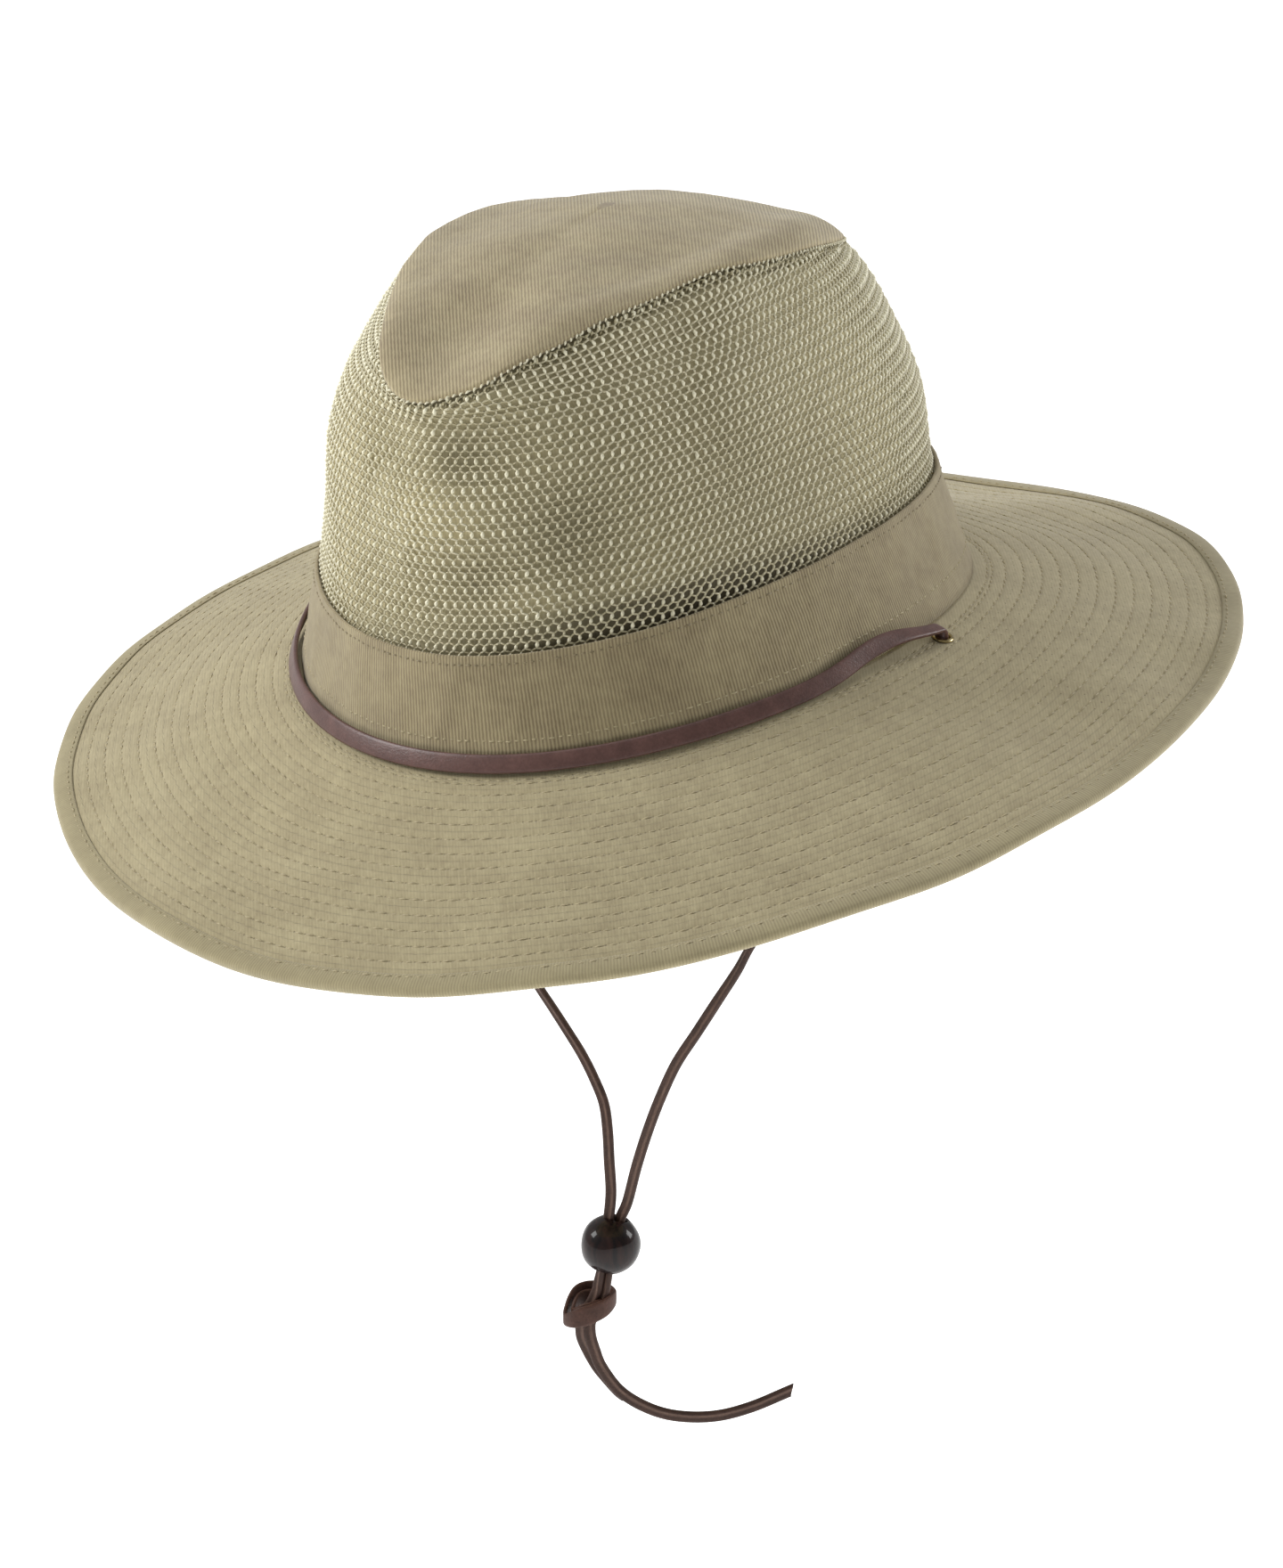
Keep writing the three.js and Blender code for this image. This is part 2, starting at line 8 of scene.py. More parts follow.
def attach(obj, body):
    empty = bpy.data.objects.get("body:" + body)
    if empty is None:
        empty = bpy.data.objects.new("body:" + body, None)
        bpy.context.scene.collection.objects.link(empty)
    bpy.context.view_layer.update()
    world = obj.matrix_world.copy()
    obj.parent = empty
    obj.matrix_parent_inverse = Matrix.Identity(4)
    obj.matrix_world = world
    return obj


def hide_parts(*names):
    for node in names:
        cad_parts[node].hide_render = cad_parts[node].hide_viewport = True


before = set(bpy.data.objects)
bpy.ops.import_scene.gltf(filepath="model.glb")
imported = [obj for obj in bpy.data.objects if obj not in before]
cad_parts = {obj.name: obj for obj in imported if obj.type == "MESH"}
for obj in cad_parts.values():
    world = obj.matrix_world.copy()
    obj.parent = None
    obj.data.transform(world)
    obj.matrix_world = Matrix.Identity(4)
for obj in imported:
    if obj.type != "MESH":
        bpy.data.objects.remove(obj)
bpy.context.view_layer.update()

# A safari hat. +Z is up, the wearer looks along -Y, and the wearer's left is +X.
# Shapes are worked out in millimetres and stored in metres.
MM = 0.001
random = np.random.default_rng(4101)

# The camera: the viewing angle and framing of the photograph.
VIEW_AZIMUTH = math.radians(32)
VIEW_ELEVATION = math.radians(21)
VIEW_ROLL = math.radians(-5)
VIEW_DISTANCE = 1.5
FOCAL_PIXELS = 6200
IMAGE_HEIGHT = 1760
SENSOR = 36
AIM = (0.0006, -0.0501)  # across and up in the picture, from a point just over the origin
AIM_HEIGHT = 0.004
FAR_CLIP = 50


def photo_camera():
    data = bpy.data.cameras.new("photo_camera")
    data.sensor_width = SENSOR
    data.lens = FOCAL_PIXELS * SENSOR / IMAGE_HEIGHT
    data.clip_end = FAR_CLIP
    camera = bpy.data.objects.new("photo_camera", data)
    place = Matrix.Translation((0, 0, AIM_HEIGHT))
    for angle, axis in ((VIEW_AZIMUTH, "Z"), (math.pi / 2 - VIEW_ELEVATION, "X"), (VIEW_ROLL, "Z")):
        place = place @ Matrix.Rotation(angle, 4, axis)
    camera.matrix_world = place @ Matrix.Translation((*AIM, VIEW_DISTANCE))
    bpy.context.scene.collection.objects.link(camera)
    bpy.context.scene.camera = camera


photo_camera()


# Surfaces of the hat, in millimetres. An angle is 0 at the wearer's left and -90 degrees at the front.

FRONT = -math.pi / 2
RING_COLUMNS = ("height", "front_drop", "back_drop", "nose_drop", "side", "front", "back", "pinch")
CROWN_RINGS = np.array([
    (4.2, 9.4, 7.4, 0, 85.5, 103.2, 103.2, 0),
    (20.6, 9.2, 7.2, 0, 80, 101.6, 101.6, 0),
    (33, 9, 7, 0, 76, 100.4, 100.6, 0),
    (52, 7, 4.9, 0, 73.6, 96.3, 100.5, 0),
    (72, 3.6, 4.7, 1.5, 68.3, 94.1, 93.5, 0),
    (90, 2.8, 6, 5, 58.6, 93, 85.5, 0.04),
    (105.6, 7.6, 15.4, 9.3, 48.5, 93.3, 72.4, 0.19),
    (107.5, 2.8, 7.5, 6, 35, 71.5, 54.5, 0.08),
    (111.2, 1, 2.8, 2, 17.6, 36.5, 30, 0),
    (113.1, 0, 0, 0, 0, 0, 0, 0),
])
BAND_LEVEL = 2
TIP_LEVEL = 6
TIP_MIDDLE_LEVEL = 9
TIP_BACK_SLIP = 0.85
NOSE_SPREAD = 0.5
PINCH_ANGLE = 0.75
PINCH_SPREAD = 0.42

# Bends of the tip's seam: angle, turn, rise.
TIP_SEAM_WAVES = (
    (-0.3, 0.2, 0.2),
    (-2.84, 0.2, 0.2),
    (-0.85, 0.15, -0.1),
    (-1.43, 0.1, 0.07),
    (-1.78, 0.2, -0.12),
)

# Soft hollows in the crown: angle, turn, level, rise, inward, downward.
HOLLOWS = (
    (-1.3, 0.22, 4.5, 0.75, 2.8, 0),
    (-1.84, 0.22, 4.5, 0.75, 2.8, 0),
    (-1.5, 0.35, 3.3, 0.7, -1.4, 0),
    (-0.3, 0.26, 3.3, 0.7, 2.4, 0),
    (-0.3, 0.25, 4.7, 0.5, -1, 0),
    (-2.75, 0.3, 3.4, 0.8, 2, 0),
    (1.7, 0.5, 3.9, 0.8, 1.6, 0),
    (-1.68, 0.4, 7, 0.55, 0, 2.2),
)

BRIM_SIDE = 158
BRIM_FRONT = 172
BRIM_BACK = 184
BRIM_EDGE_HEIGHT = -23.2
BRIM_SIDE_RISE = 5.4
BRIM_BACK_RISE = 9.8
BRIM_CORNER_RISE = 0.7
BRIM_THICKNESS = 1.6


def bump(distance, spread):
    return np.exp(-((distance / spread) ** 2))


def soft_step(distance, spread):
    """Rises softly from 0 to 1 where the distance passes 0."""
    return 1 / (1 + np.exp(-distance / spread))


def turned(angle, start):
    """How far an angle lies from another, in radians, from -pi to pi."""
    turn = angle - start
    return np.arctan2(np.sin(turn), np.cos(turn))


def unit(vectors):
    return vectors / np.linalg.norm(vectors, axis=-1, keepdims=True)


def run_along(line):
    """How far along its line each point lies. A grid of points holds many lines side by side."""
    steps = np.linalg.norm(np.diff(line, axis=0), axis=-1)
    return np.concatenate([0 * steps[:1], np.cumsum(steps, axis=0)])


def round_angles(count):
    return 2 * math.pi * np.arange(count) / count


def lengthened(rows):
    """The rows with one more at each end, in line with the two beside it."""
    return np.vstack([2 * rows[:1] - rows[1:2], rows, 2 * rows[-1:] - rows[-2:-1]])


def through(before, here, after, last, part):
    """The smooth curve between two middle points of four, at parts of the way."""
    return 0.5 * (2 * here + (after - before) * part + (2 * before - 5 * here + 4 * after - last) * part ** 2
                  + (3 * here - before - 3 * after + last) * part ** 3)


def ring_at(level):
    """The crown's ring at each level, on a smooth curve through the table's rows."""
    rows = lengthened(CROWN_RINGS)
    row = np.clip(np.floor(level).astype(int), 0, len(CROWN_RINGS) - 2)
    values = through(*(rows[row + k] for k in range(4)), (level - row)[..., None])
    return {name: values[..., k] for k, name in enumerate(RING_COLUMNS)}


def crown_point(angle, level):
    angle, level = np.broadcast_arrays(np.asarray(angle, float), np.asarray(level, float))
    ring = ring_at(level)
    along = np.sin(angle)
    off = np.abs(turned(angle, FRONT))
    pinched = 1 - ring["pinch"] * bump(off - PINCH_ANGLE, PINCH_SPREAD)
    reach = np.where(along < 0, ring["front"], ring["back"])
    drop = np.where(along < 0, ring["front_drop"], ring["back_drop"])
    point = np.stack([
        ring["side"] * np.cos(angle) * pinched,
        reach * along,
        ring["height"] - drop * along ** 2 - ring["nose_drop"] * bump(off, NOSE_SPREAD),
    ], -1)
    for start, turn, middle, rise, inward, downward in HOLLOWS:
        share = bump(turned(angle, start), turn) * bump(level - middle, rise)
        way = np.stack([np.cos(angle) * inward, along * inward, 0 * angle + downward], -1)
        point = point - way * share[..., None]
    return point


def tip_seam(angle):
    """The level of the tip's seam, which sinks towards the back."""
    level = TIP_LEVEL - TIP_BACK_SLIP * ((1 + np.sin(angle)) / 2) ** 2
    for start, turn, rise in TIP_SEAM_WAVES:
        level = level + rise * bump(turned(angle, start), turn)
    return level


def brim_point(angle, share):
    """A point on the top of the brim. share is 0 at the crown seam and 1 at the edge."""
    angle, share = np.broadcast_arrays(np.asarray(angle, float), np.asarray(share, float))
    seam = crown_point(angle, np.zeros_like(share))
    along = np.sin(angle)
    edge = np.stack([
        BRIM_SIDE * np.cos(angle),
        np.where(along < 0, BRIM_FRONT, BRIM_BACK) * along,
        BRIM_EDGE_HEIGHT + BRIM_SIDE_RISE * np.cos(2 * angle) + BRIM_BACK_RISE * along
        - BRIM_CORNER_RISE * np.cos(4 * angle),
    ], -1)
    return seam + (edge - seam) * share[..., None]


def normal_at(surface, angle, place, step):
    small = 1e-3
    across = surface(angle + small, place) - surface(angle - small, place)
    upward = surface(angle, place + step) - surface(angle, place - step)
    return unit(np.cross(across, upward))


class SoftNoise:
    """Smooth unevenness of cloth: waves of random direction, near a given wavelength in millimetres."""

    def __init__(self, wavelength, waves=14):
        length = 2 * math.pi / wavelength * random.uniform(0.6, 1.5, waves)
        self.ways = unit(random.normal(size=(waves, 3))) * length[:, None]
        self.starts = random.uniform(0, 2 * math.pi, waves)

    def __call__(self, points):
        total = np.zeros(points.shape[:-1])
        for way, start in zip(self.ways, self.starts):
            total += np.sin(points @ way + start)
        return total / math.sqrt(len(self.starts) / 2)


cloth_waves = SoftNoise(34)
cloth_puckers = SoftNoise(9)
CROWN_STEP = 0.02
BRIM_STEP = -0.01
WAVE_HEIGHT = 0.2
BRIM_WAVE_HEIGHT = 0.5
BRIM_WAVE_STRETCH = 0.6


def crown_offset(angle, level, distance, pucker=0.0):
    """A point over the crown surface. pucker is the height of small uneven places, in millimetres."""
    point = crown_point(angle, level)
    lift = np.asarray(distance) + WAVE_HEIGHT * cloth_waves(point) + pucker * cloth_puckers(point)
    return point + normal_at(crown_point, angle, level, CROWN_STEP) * lift[..., None]


def brim_offset(angle, share, lift):
    """A point over the brim, whose cloth is loosest near its edge."""
    point = brim_point(angle, share)
    loose = BRIM_WAVE_HEIGHT * bump(np.asarray(share) - 0.75, 0.45) * cloth_waves(point * BRIM_WAVE_STRETCH)
    return point + normal_at(brim_point, angle, share, BRIM_STEP) * (np.asarray(lift) + loose)[..., None]


# Making meshes.

def new_piece(name, points, faces, material, slot, node=None):
    """A mesh piece from points in millimetres, which rides on the hat's one body."""
    mesh = bpy.data.meshes.new(name)
    mesh.from_pydata((np.asarray(points).reshape(-1, 3) * MM).tolist(), [], faces)
    mesh.validate()
    mesh.shade_smooth()
    mesh.materials.append(material)
    piece = bpy.data.objects.new(name, mesh)
    bpy.context.scene.collection.objects.link(piece)
    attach(piece, "root")
    if node:
        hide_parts(node)
    return piece


def ring_faces(rings, count, closed):
    """Faces between rings of count points. closed joins the last ring to the first."""
    r = np.arange(rings if closed else rings - 1)[:, None]
    i = np.arange(count)[None]
    low, high = r * count, (r + 1) % rings * count
    j = (i + 1) % count
    return np.stack([low + i, low + j, high + j, high + i], -1).reshape(-1, 4)


def flat_map(piece, name, across, along):
    """Gives the faces between rings a flat map. across and along have one more column than a ring has
    points."""
    rings, count = across.shape[0] - 1, across.shape[1] - 1
    layer = piece.data.uv_layers.new(name=name)
    r, i = np.meshgrid(np.arange(rings), np.arange(count), indexing="ij")
    corners = [(r, i), (r, i + 1), (r + 1, i + 1), (r + 1, i)]
    pairs = np.stack([np.stack([across[c], along[c]], -1) for c in corners], 2)
    flat = np.zeros(2 * len(layer.data))
    flat[:pairs.size] = pairs.reshape(-1)
    layer.data.foreach_set("uv", flat)


def point_values(piece, name, values):
    layer = piece.data.attributes.new(name, "FLOAT", "POINT")
    layer.data.foreach_set("value", np.asarray(values, np.float32).ravel())


def closed_wall(name, sections, material, slot, node=None, caps=None):
    """A closed body from rings (ring, point, xyz). Without caps the last ring joins the first."""
    rings, count = sections.shape[:2]
    points = sections.reshape(-1, 3)
    faces = ring_faces(rings, count, caps is None).tolist()
    if caps is not None:
        points = np.vstack([points, caps])
        middle, last = rings * count, (rings - 1) * count
        for i in range(count):
            j = (i + 1) % count
            faces += [(middle, j, i), (middle + 1, last + i, last + j)]
    return new_piece(name, points, faces, material, slot, node)


def strands(lines, outward, half_width, half_height, sides):
    """Points and faces of many short closed strands. lines is (strand, point, xyz) and outward (strand, xyz).
    half_width and half_height have one value for each point, for all strands or in one row for each."""
    number, steps = lines.shape[:2]
    tangent = unit(np.gradient(lines, axis=1))
    across = unit(np.cross(outward[:, None], tangent))
    lift = np.cross(tangent, across)
    turn = 2 * math.pi * (np.arange(sides) + 0.5) / sides
    width = np.broadcast_to(half_width, (number, steps))[:, :, None] * np.cos(turn)
    height = np.broadcast_to(half_height, (number, steps))[:, :, None] * np.sin(turn)
    ring = across[:, :, None] * width[..., None] + lift[:, :, None] * height[..., None]
    size = steps * sides
    one = ring_faces(steps, sides, False).tolist()
    one += [list(range(sides))[::-1], list(range(size - sides, size))]
    faces = [[start + v for v in face] for start in range(0, number * size, size) for face in one]
    return (lines[:, :, None] + ring).reshape(-1, 3), faces


def joined(parts):
    """One list of points and one of faces from several (points, faces)."""
    points, faces, start = [], [], 0
    for some, their in parts:
        points.append(some)
        faces.extend([v + start for v in face] for face in their)
        start += len(some)
    return np.vstack(points), faces


def rounded(sides, across_power, lift_power):
    """Outline of a flat lace, from -1 to 1 each way. Lower powers give squarer corners."""
    turn = round_angles(sides)
    way = np.stack([np.cos(turn), np.sin(turn)], -1)
    return np.sign(way) * np.abs(way) ** (across_power, lift_power)


def lathe(profile, middle, axis, sides):
    """Rings of a turned shape. The profile gives each ring's radius and its place along the axis."""
    first = unit(np.cross(axis, (0, 1, 0)))
    turn = round_angles(sides)[:, None]
    way = np.cos(turn) * first + np.sin(turn) * np.cross(axis, first)
    profile = np.array(profile)
    return middle + profile[:, :1, None] * way + profile[:, 1:, None] * axis


# Materials. The patterns' sizes are real lengths.
WAVE_PERIOD = 2 * math.pi / 20  # a wave texture of scale 1 repeats at this length
SLUB = 2.38 * MM  # thick places in cotton yarn
WEAR_PATCH = 14.3 * MM
YARN_PATCH = 16.7 * MM
YARN_TWIST = 0.625 * MM
THREAD_FIBRE = 1.11 * MM
LEATHER_PATCH = 5.56 * MM
LEATHER_FIBRE = 0.714 * MM
LEATHER_RELIEF = 0.12 * MM
FOLD_BREAK = 3.85 * MM
SEAM_PATCH = 11.1 * MM
WOOD_GRAIN = (2.38 * MM, 2.38 * MM, 11.1 * MM)
BRASS_WEAR = 2 * MM
SHEET_PATCH = 500 * MM


def linear(code):
    """Linear colour from an sRGB hex code."""
    parts = [int(code[k:k + 2], 16) / 255 for k in (1, 3, 5)]
    return (*[c / 12.92 if c <= 0.04045 else ((c + 0.055) / 1.055) ** 2.4 for c in parts], 1)


def add(tree, kind, inputs=(), out=0, stops=(), **settings):
    """Adds a node with its settings and gives one of its outputs. inputs gives sockets a value or the output
    that feeds them, and stops the two places and colours of a colour ramp."""
    node = tree.nodes.new("ShaderNode" + kind)
    if stops:
        for element, (place, code) in zip(node.color_ramp.elements, stops):
            element.position = place
            element.color = linear(code)
    for name, value in settings.items():
        setattr(node, name, value)
    for name, value in dict(inputs).items():
        if isinstance(value, bpy.types.NodeSocket):
            tree.links.new(value, node.inputs[name])
        else:
            node.inputs[name].default_value = value
    return node.outputs[out]


def new_material(name, **values):
    """A material, its node tree and the place on the piece. values are the shader's own sockets."""
    material = bpy.data.materials.new(name)
    material.use_nodes = True
    shader = material.node_tree.nodes["Principled BSDF"]
    for socket, value in values.items():
        shader.inputs[socket.replace("_", " ")].default_value = value
    return material, material.node_tree, add(material.node_tree, "TexCoord", out="Object")


def feed(tree, **outputs):
    """Joins outputs to the shader's sockets."""
    for socket, output in outputs.items():
        tree.links.new(output, tree.nodes["Principled BSDF"].inputs[socket.replace("_", " ")])


def cloth_material(name, light, dark, rib, relief, streak=0.4, stitched=False):
    """Woven cotton seen close: fine ribs along the cloth, uneven yarn, and soft patches where it has worn.
    light and dark are the yarn's colours, rib the width of one rib and relief its height in metres."""
    material, tree, solid = new_material(name, Roughness=0.92, Specular_IOR_Level=0.25, Sheen_Weight=0.25,
                                         Sheen_Roughness=0.6)
    place = add(tree, "UVMap", uv_map="cloth")
    ribs = add(tree, "TexWave", {"Vector": place, "Scale": WAVE_PERIOD / rib, "Distortion": 1.1, "Detail": 2,
                                 "Detail Scale": 1.6}, "Fac", bands_direction="X")
    stretched = add(tree, "Mapping", {"Vector": place, "Scale": (1 / rib, 0.16 / rib, 1)})
    yarn = add(tree, "TexNoise", {"Vector": stretched, "Scale": 1, "Detail": 3, "Roughness": 0.6})
    slub = add(tree, "TexNoise", {"Vector": solid, "Scale": 1 / SLUB, "Detail": 2})
    patch = add(tree, "TexNoise", {"Vector": solid, "Scale": 1 / WEAR_PATCH, "Detail": 6, "Roughness": 0.7})
    grain = add(tree, "Mix", {"Factor": streak, "A": ribs, "B": yarn})
    weave = add(tree, "Mix", {"Factor": 0.3, "A": grain, "B": slub})
    tone = add(tree, "Mix", {"Factor": 0.4, "A": weave, "B": patch})
    colour = add(tree, "ValToRGB", {"Fac": tone}, stops=[(0.3, dark), (0.72, light)])
    height = weave
    if stitched:
        colour, height = stitch_marks(tree, colour, weave)
    shade = add(tree, "Bump", {"Height": height, "Distance": relief, "Strength": 1})
    feed(tree, Base_Color=colour, Normal=shade)
    return material


def lining_material(name, light, dark, shade_colour, rib, relief, streak):
    """Plain lining cloth mixed on each point with a painted shade colour: painted shade at its foot and top,
    which makes the net's holes look deep.
    """
    material = cloth_material(name, light, dark, rib, relief, streak)
    tree = material.node_tree
    share = add(tree, "Attribute", out="Fac", attribute_name="painted_shade")
    plain = tree.nodes["Principled BSDF"].inputs["Base Color"].links[0].from_socket
    feed(tree, Base_Color=add(tree, "Mix", {"Factor": share, 6: plain, 7: linear(shade_colour)}, 2, data_type="RGBA"))
    return material


STITCH_LENGTH = 3.7
HOLE_RADIUS = 0.36  # of the dimple round a needle hole, in millimetres
HOLE_FLOOR = 0.1
SEAM_LINE = 0.24  # half width of the crease along a row of stitches, in millimetres
CREASE_DEPTH = 0.05
SEAM_SHADOW = "#786D53"


def stitch_marks(tree, colour, weave):
    """Needle holes and the crease of each row of stitches, sunk in the relief and darkened with painted
    shadow, on the map of the stitch rows.
    That map gives the count of stitches along a row and the distance from it in millimetres."""
    rows = add(tree, "UVMap", uv_map="stitch_rows")
    count = add(tree, "SeparateXYZ", {0: rows}, "X")
    off_row = add(tree, "SeparateXYZ", {0: rows}, "Y")
    from_end = add(tree, "Math", {0: count, 1: 0.5}, operation="PINGPONG")
    along = add(tree, "Math", {0: from_end, 1: STITCH_LENGTH}, operation="MULTIPLY")
    place = add(tree, "CombineXYZ", {"X": along, "Y": off_row})
    away = add(tree, "VectorMath", {0: place}, "Value", operation="LENGTH")
    hole = add(tree, "MapRange", {"Value": away, "From Min": HOLE_RADIUS, "From Max": HOLE_FLOOR})
    beside = add(tree, "Math", {0: off_row}, operation="ABSOLUTE")
    crease = add(tree, "MapRange", {"Value": beside, "From Min": SEAM_LINE, "From Max": 0.05,
                                    "To Max": CREASE_DEPTH})
    solid = add(tree, "TexCoord", out="Object")
    uneven = add(tree, "TexNoise", {"Vector": solid, "Scale": 1 / SEAM_PATCH, "Detail": 2})
    depth = add(tree, "MapRange", {"Value": uneven, "From Min": 0.3, "From Max": 0.62})
    both = add(tree, "Math", {0: hole, 1: crease}, operation="MAXIMUM")
    mark = add(tree, "Math", {0: both, 1: depth}, operation="MULTIPLY")
    # Painted shadow in the needle holes and along the crease.
    mixed = add(tree, "Mix", {"Factor": mark, 6: colour, 7: linear(SEAM_SHADOW)}, 2, data_type="RGBA")
    return mixed, add(tree, "Math", {0: weave, 1: both}, operation="SUBTRACT")


def net_yarn():
    """Twisted polyester yarn: pale, with a silky gloss, and a painted sheen on each point that lightens its
    colour where the light would catch it.
    """
    material, tree, solid = new_material("polyester_net_yarn", Roughness=0.36, Specular_IOR_Level=0.7)
    patch = add(tree, "TexNoise", {"Vector": solid, "Scale": 1 / YARN_PATCH, "Detail": 3})
    twist = add(tree, "TexNoise", {"Vector": solid, "Scale": 1 / YARN_TWIST, "Detail": 1})
    uneven = add(tree, "Mix", {"Factor": 0.5, "A": patch, "B": twist})
    # Painted sheen and shade, a value on each point, lightens or darkens the yarn's colour.
    sheen = add(tree, "Attribute", out="Fac", attribute_name="sheen")
    tone = add(tree, "Mix", {"Factor": 0.72, "A": uneven, "B": sheen})
    colour = add(tree, "ValToRGB", {"Fac": tone}, stops=[(0.1, "#A99F7B"), (0.85, "#EDE8CC")])
    shade = add(tree, "Bump", {"Height": twist, "Distance": 0.1 * MM, "Strength": 0.6})
    feed(tree, Base_Color=colour, Normal=shade)
    return material


def grained(name, grain, detail, dark, light, **values):
    """A finish whose colour wavers over grains of a size in metres. dark and light are places and colours."""
    material, tree, solid = new_material(name, **values)
    fibre = add(tree, "TexNoise", {"Vector": solid, "Scale": 1 / grain, "Detail": detail})
    feed(tree, Base_Color=add(tree, "ValToRGB", {"Fac": fibre}, stops=[dark, light]))
    return material


def sewing_thread(name, light, dark):
    """Spun polyester sewing thread, matt, near the cloth in colour."""
    return grained(name, THREAD_FIBRE, 2, (0.3, dark), (0.7, light), Roughness=0.75, Sheen_Weight=0.2)


def leather_material(name, light, dark, roughness, gloss, pores, fold=None):
    """Waxed cowhide: fine pores, long faint streaks from drawing the lace, and a dull sheen.
    pores is the distance between pores in metres, and fold the colour of painted highlight lines along the
    lace's folded edges."""
    material, tree, solid = new_material(name, Roughness=roughness, Specular_IOR_Level=gloss)
    patch = add(tree, "TexNoise", {"Vector": solid, "Scale": 1 / LEATHER_PATCH, "Detail": 4})
    pore = add(tree, "TexVoronoi", {"Vector": solid, "Scale": 1 / pores})
    fibre = add(tree, "TexNoise", {"Vector": solid, "Scale": 1 / LEATHER_FIBRE, "Detail": 2})
    tone = add(tree, "Mix", {"Factor": 0.4, "A": patch, "B": fibre})
    relief = add(tree, "Mix", {"Factor": 0.4, "A": fibre, "B": pore})
    colour = add(tree, "ValToRGB", {"Fac": tone}, stops=[(0.3, dark), (0.7, light)])
    if fold:
        colour = painted_fold_highlights(tree, colour, fold)
    shade = add(tree, "Bump", {"Height": relief, "Distance": LEATHER_RELIEF, "Strength": 0.7})
    feed(tree, Base_Color=colour, Normal=shade)
    return material


FOLD_PLACES = (0.22, 0.72)  # shares of the lace's girth where its folded edges carry a painted highlight
FOLD_HALF_WIDTH = 0.05


def painted_fold_highlights(tree, colour, fold):
    """Two painted highlight lines along the folded lace's edges, broken here and there."""
    place = add(tree, "UVMap", uv_map="cloth")
    girth = add(tree, "SeparateXYZ", {0: place}, "X")
    broken = add(tree, "TexNoise", {"Vector": place, "Scale": 1 / FOLD_BREAK, "Detail": 3})
    kept = add(tree, "MapRange", {"Value": broken, "From Min": 0.35, "From Max": 0.6, "To Max": 0.75})
    for middle in FOLD_PLACES:
        off = add(tree, "Math", {0: girth, 1: middle}, operation="SUBTRACT")
        away = add(tree, "Math", {0: off}, operation="ABSOLUTE")
        line = add(tree, "MapRange", {"Value": away, "From Min": FOLD_HALF_WIDTH, "From Max": 0.01})
        shown = add(tree, "Math", {0: line, 1: kept}, operation="MULTIPLY")
        colour = add(tree, "Mix", {"Factor": shown, 6: colour, 7: linear(fold)}, 2, data_type="RGBA")
    return colour


def lacquered_wood():
    """Turned wood stained almost black and lacquered: a clear gloss over a faint red grain."""
    material, tree, solid = new_material("lacquered_stained_wood", Roughness=0.4, Specular_IOR_Level=0.08,
                                         Coat_Weight=0.38, Coat_Roughness=0.07)
    long = add(tree, "Mapping", {"Vector": solid, "Scale": [1 / size for size in WOOD_GRAIN]})
    grain = add(tree, "TexNoise", {"Vector": long, "Scale": 1, "Detail": 4, "Distortion": 0.6})
    colour = add(tree, "ValToRGB", {"Fac": grain}, stops=[(0.35, "#110C0D"), (0.75, "#2E1D1A")])
    shade = add(tree, "Bump", {"Height": grain, "Distance": 0.1 * MM, "Strength": 0.4})
    feed(tree, Base_Color=colour, Normal=shade)
    return material


def eyelet_brass():
    """Pressed brass, polished on the roll and dulled in its hollows."""
    return grained("pressed_brass", BRASS_WEAR, 3, (0.35, "#857348"), (0.65, "#C2B183"), Metallic=1,
                   Roughness=0.25)


def floor_sheet():
    """White acrylic sheet of a light table, lit softly from below so that it looks evenly white."""
    return grained("lit_white_sheet", SHEET_PATCH, 2, (0.3, "#F6F6F5"), (0.7, "#FAFAF9"), Roughness=0.9,
                   Emission_Strength=0.85, Emission_Color=(1, 1, 1, 1))


# Real ribs of this twill are about 0.5 mm apart. They are drawn coarser, so that they show.
TWILL_RIB = 0.9 * MM
BRIM_RIB = 0.8 * MM
TAPE_RIB = 0.85 * MM
LINING_RIB = 0.7 * MM
twill = cloth_material("washed_cotton_twill", "#BBAE89", "#83745A", TWILL_RIB, 0.18 * MM, streak=0.3)
# The band's twill is a darker copy of the tip's: its darkness is painted shade on the band.
band_twill = cloth_material("ribbed_cotton_twill", "#ADA07C", "#7A6C52", TWILL_RIB, 0.16 * MM, streak=0.35)
brim_twill = cloth_material("stitched_cotton_twill", "#BBB08B", "#928566", BRIM_RIB, 0.09 * MM, streak=0.8,
                            stitched=True)
tape_cloth = cloth_material("ribbed_cotton_tape", "#ADA27E", "#8F8465", TAPE_RIB, 0.06 * MM)
# The lining's third colour is painted shade, mixed in at its foot and top and where the net hangs slack.
lining_cloth = lining_material("plain_lining_cloth", "#E0D6B0", "#C6BB94", "#4A4230", LINING_RIB, 0.06 * MM,
                               streak=0.6)
yarn = net_yarn()
thread = sewing_thread("spun_sewing_thread", "#B8AC87", "#A09373")
# A darker copy of the thread, painted shade for the stitches sunk along the band's top edge.
shade_painted_thread = sewing_thread("shade_painted_sewing_thread", "#938667", "#786C4F")
band_leather = leather_material("waxed_leather_lace", "#6A4A43", "#4B312C", 0.4, 0.55, 0.5 * MM)
# The pale fold colour is a painted highlight along the lace's folded edges.
cord_leather = leather_material("folded_leather_lace", "#4E3A33", "#33251F", 0.5, 0.2, 0.4 * MM,
                                fold="#83695C")
knot_leather = leather_material("knotted_leather_lace", "#5A3F36", "#3A2822", 0.5, 0.2, 0.4 * MM)
wood = lacquered_wood()
brass = eyelet_brass()


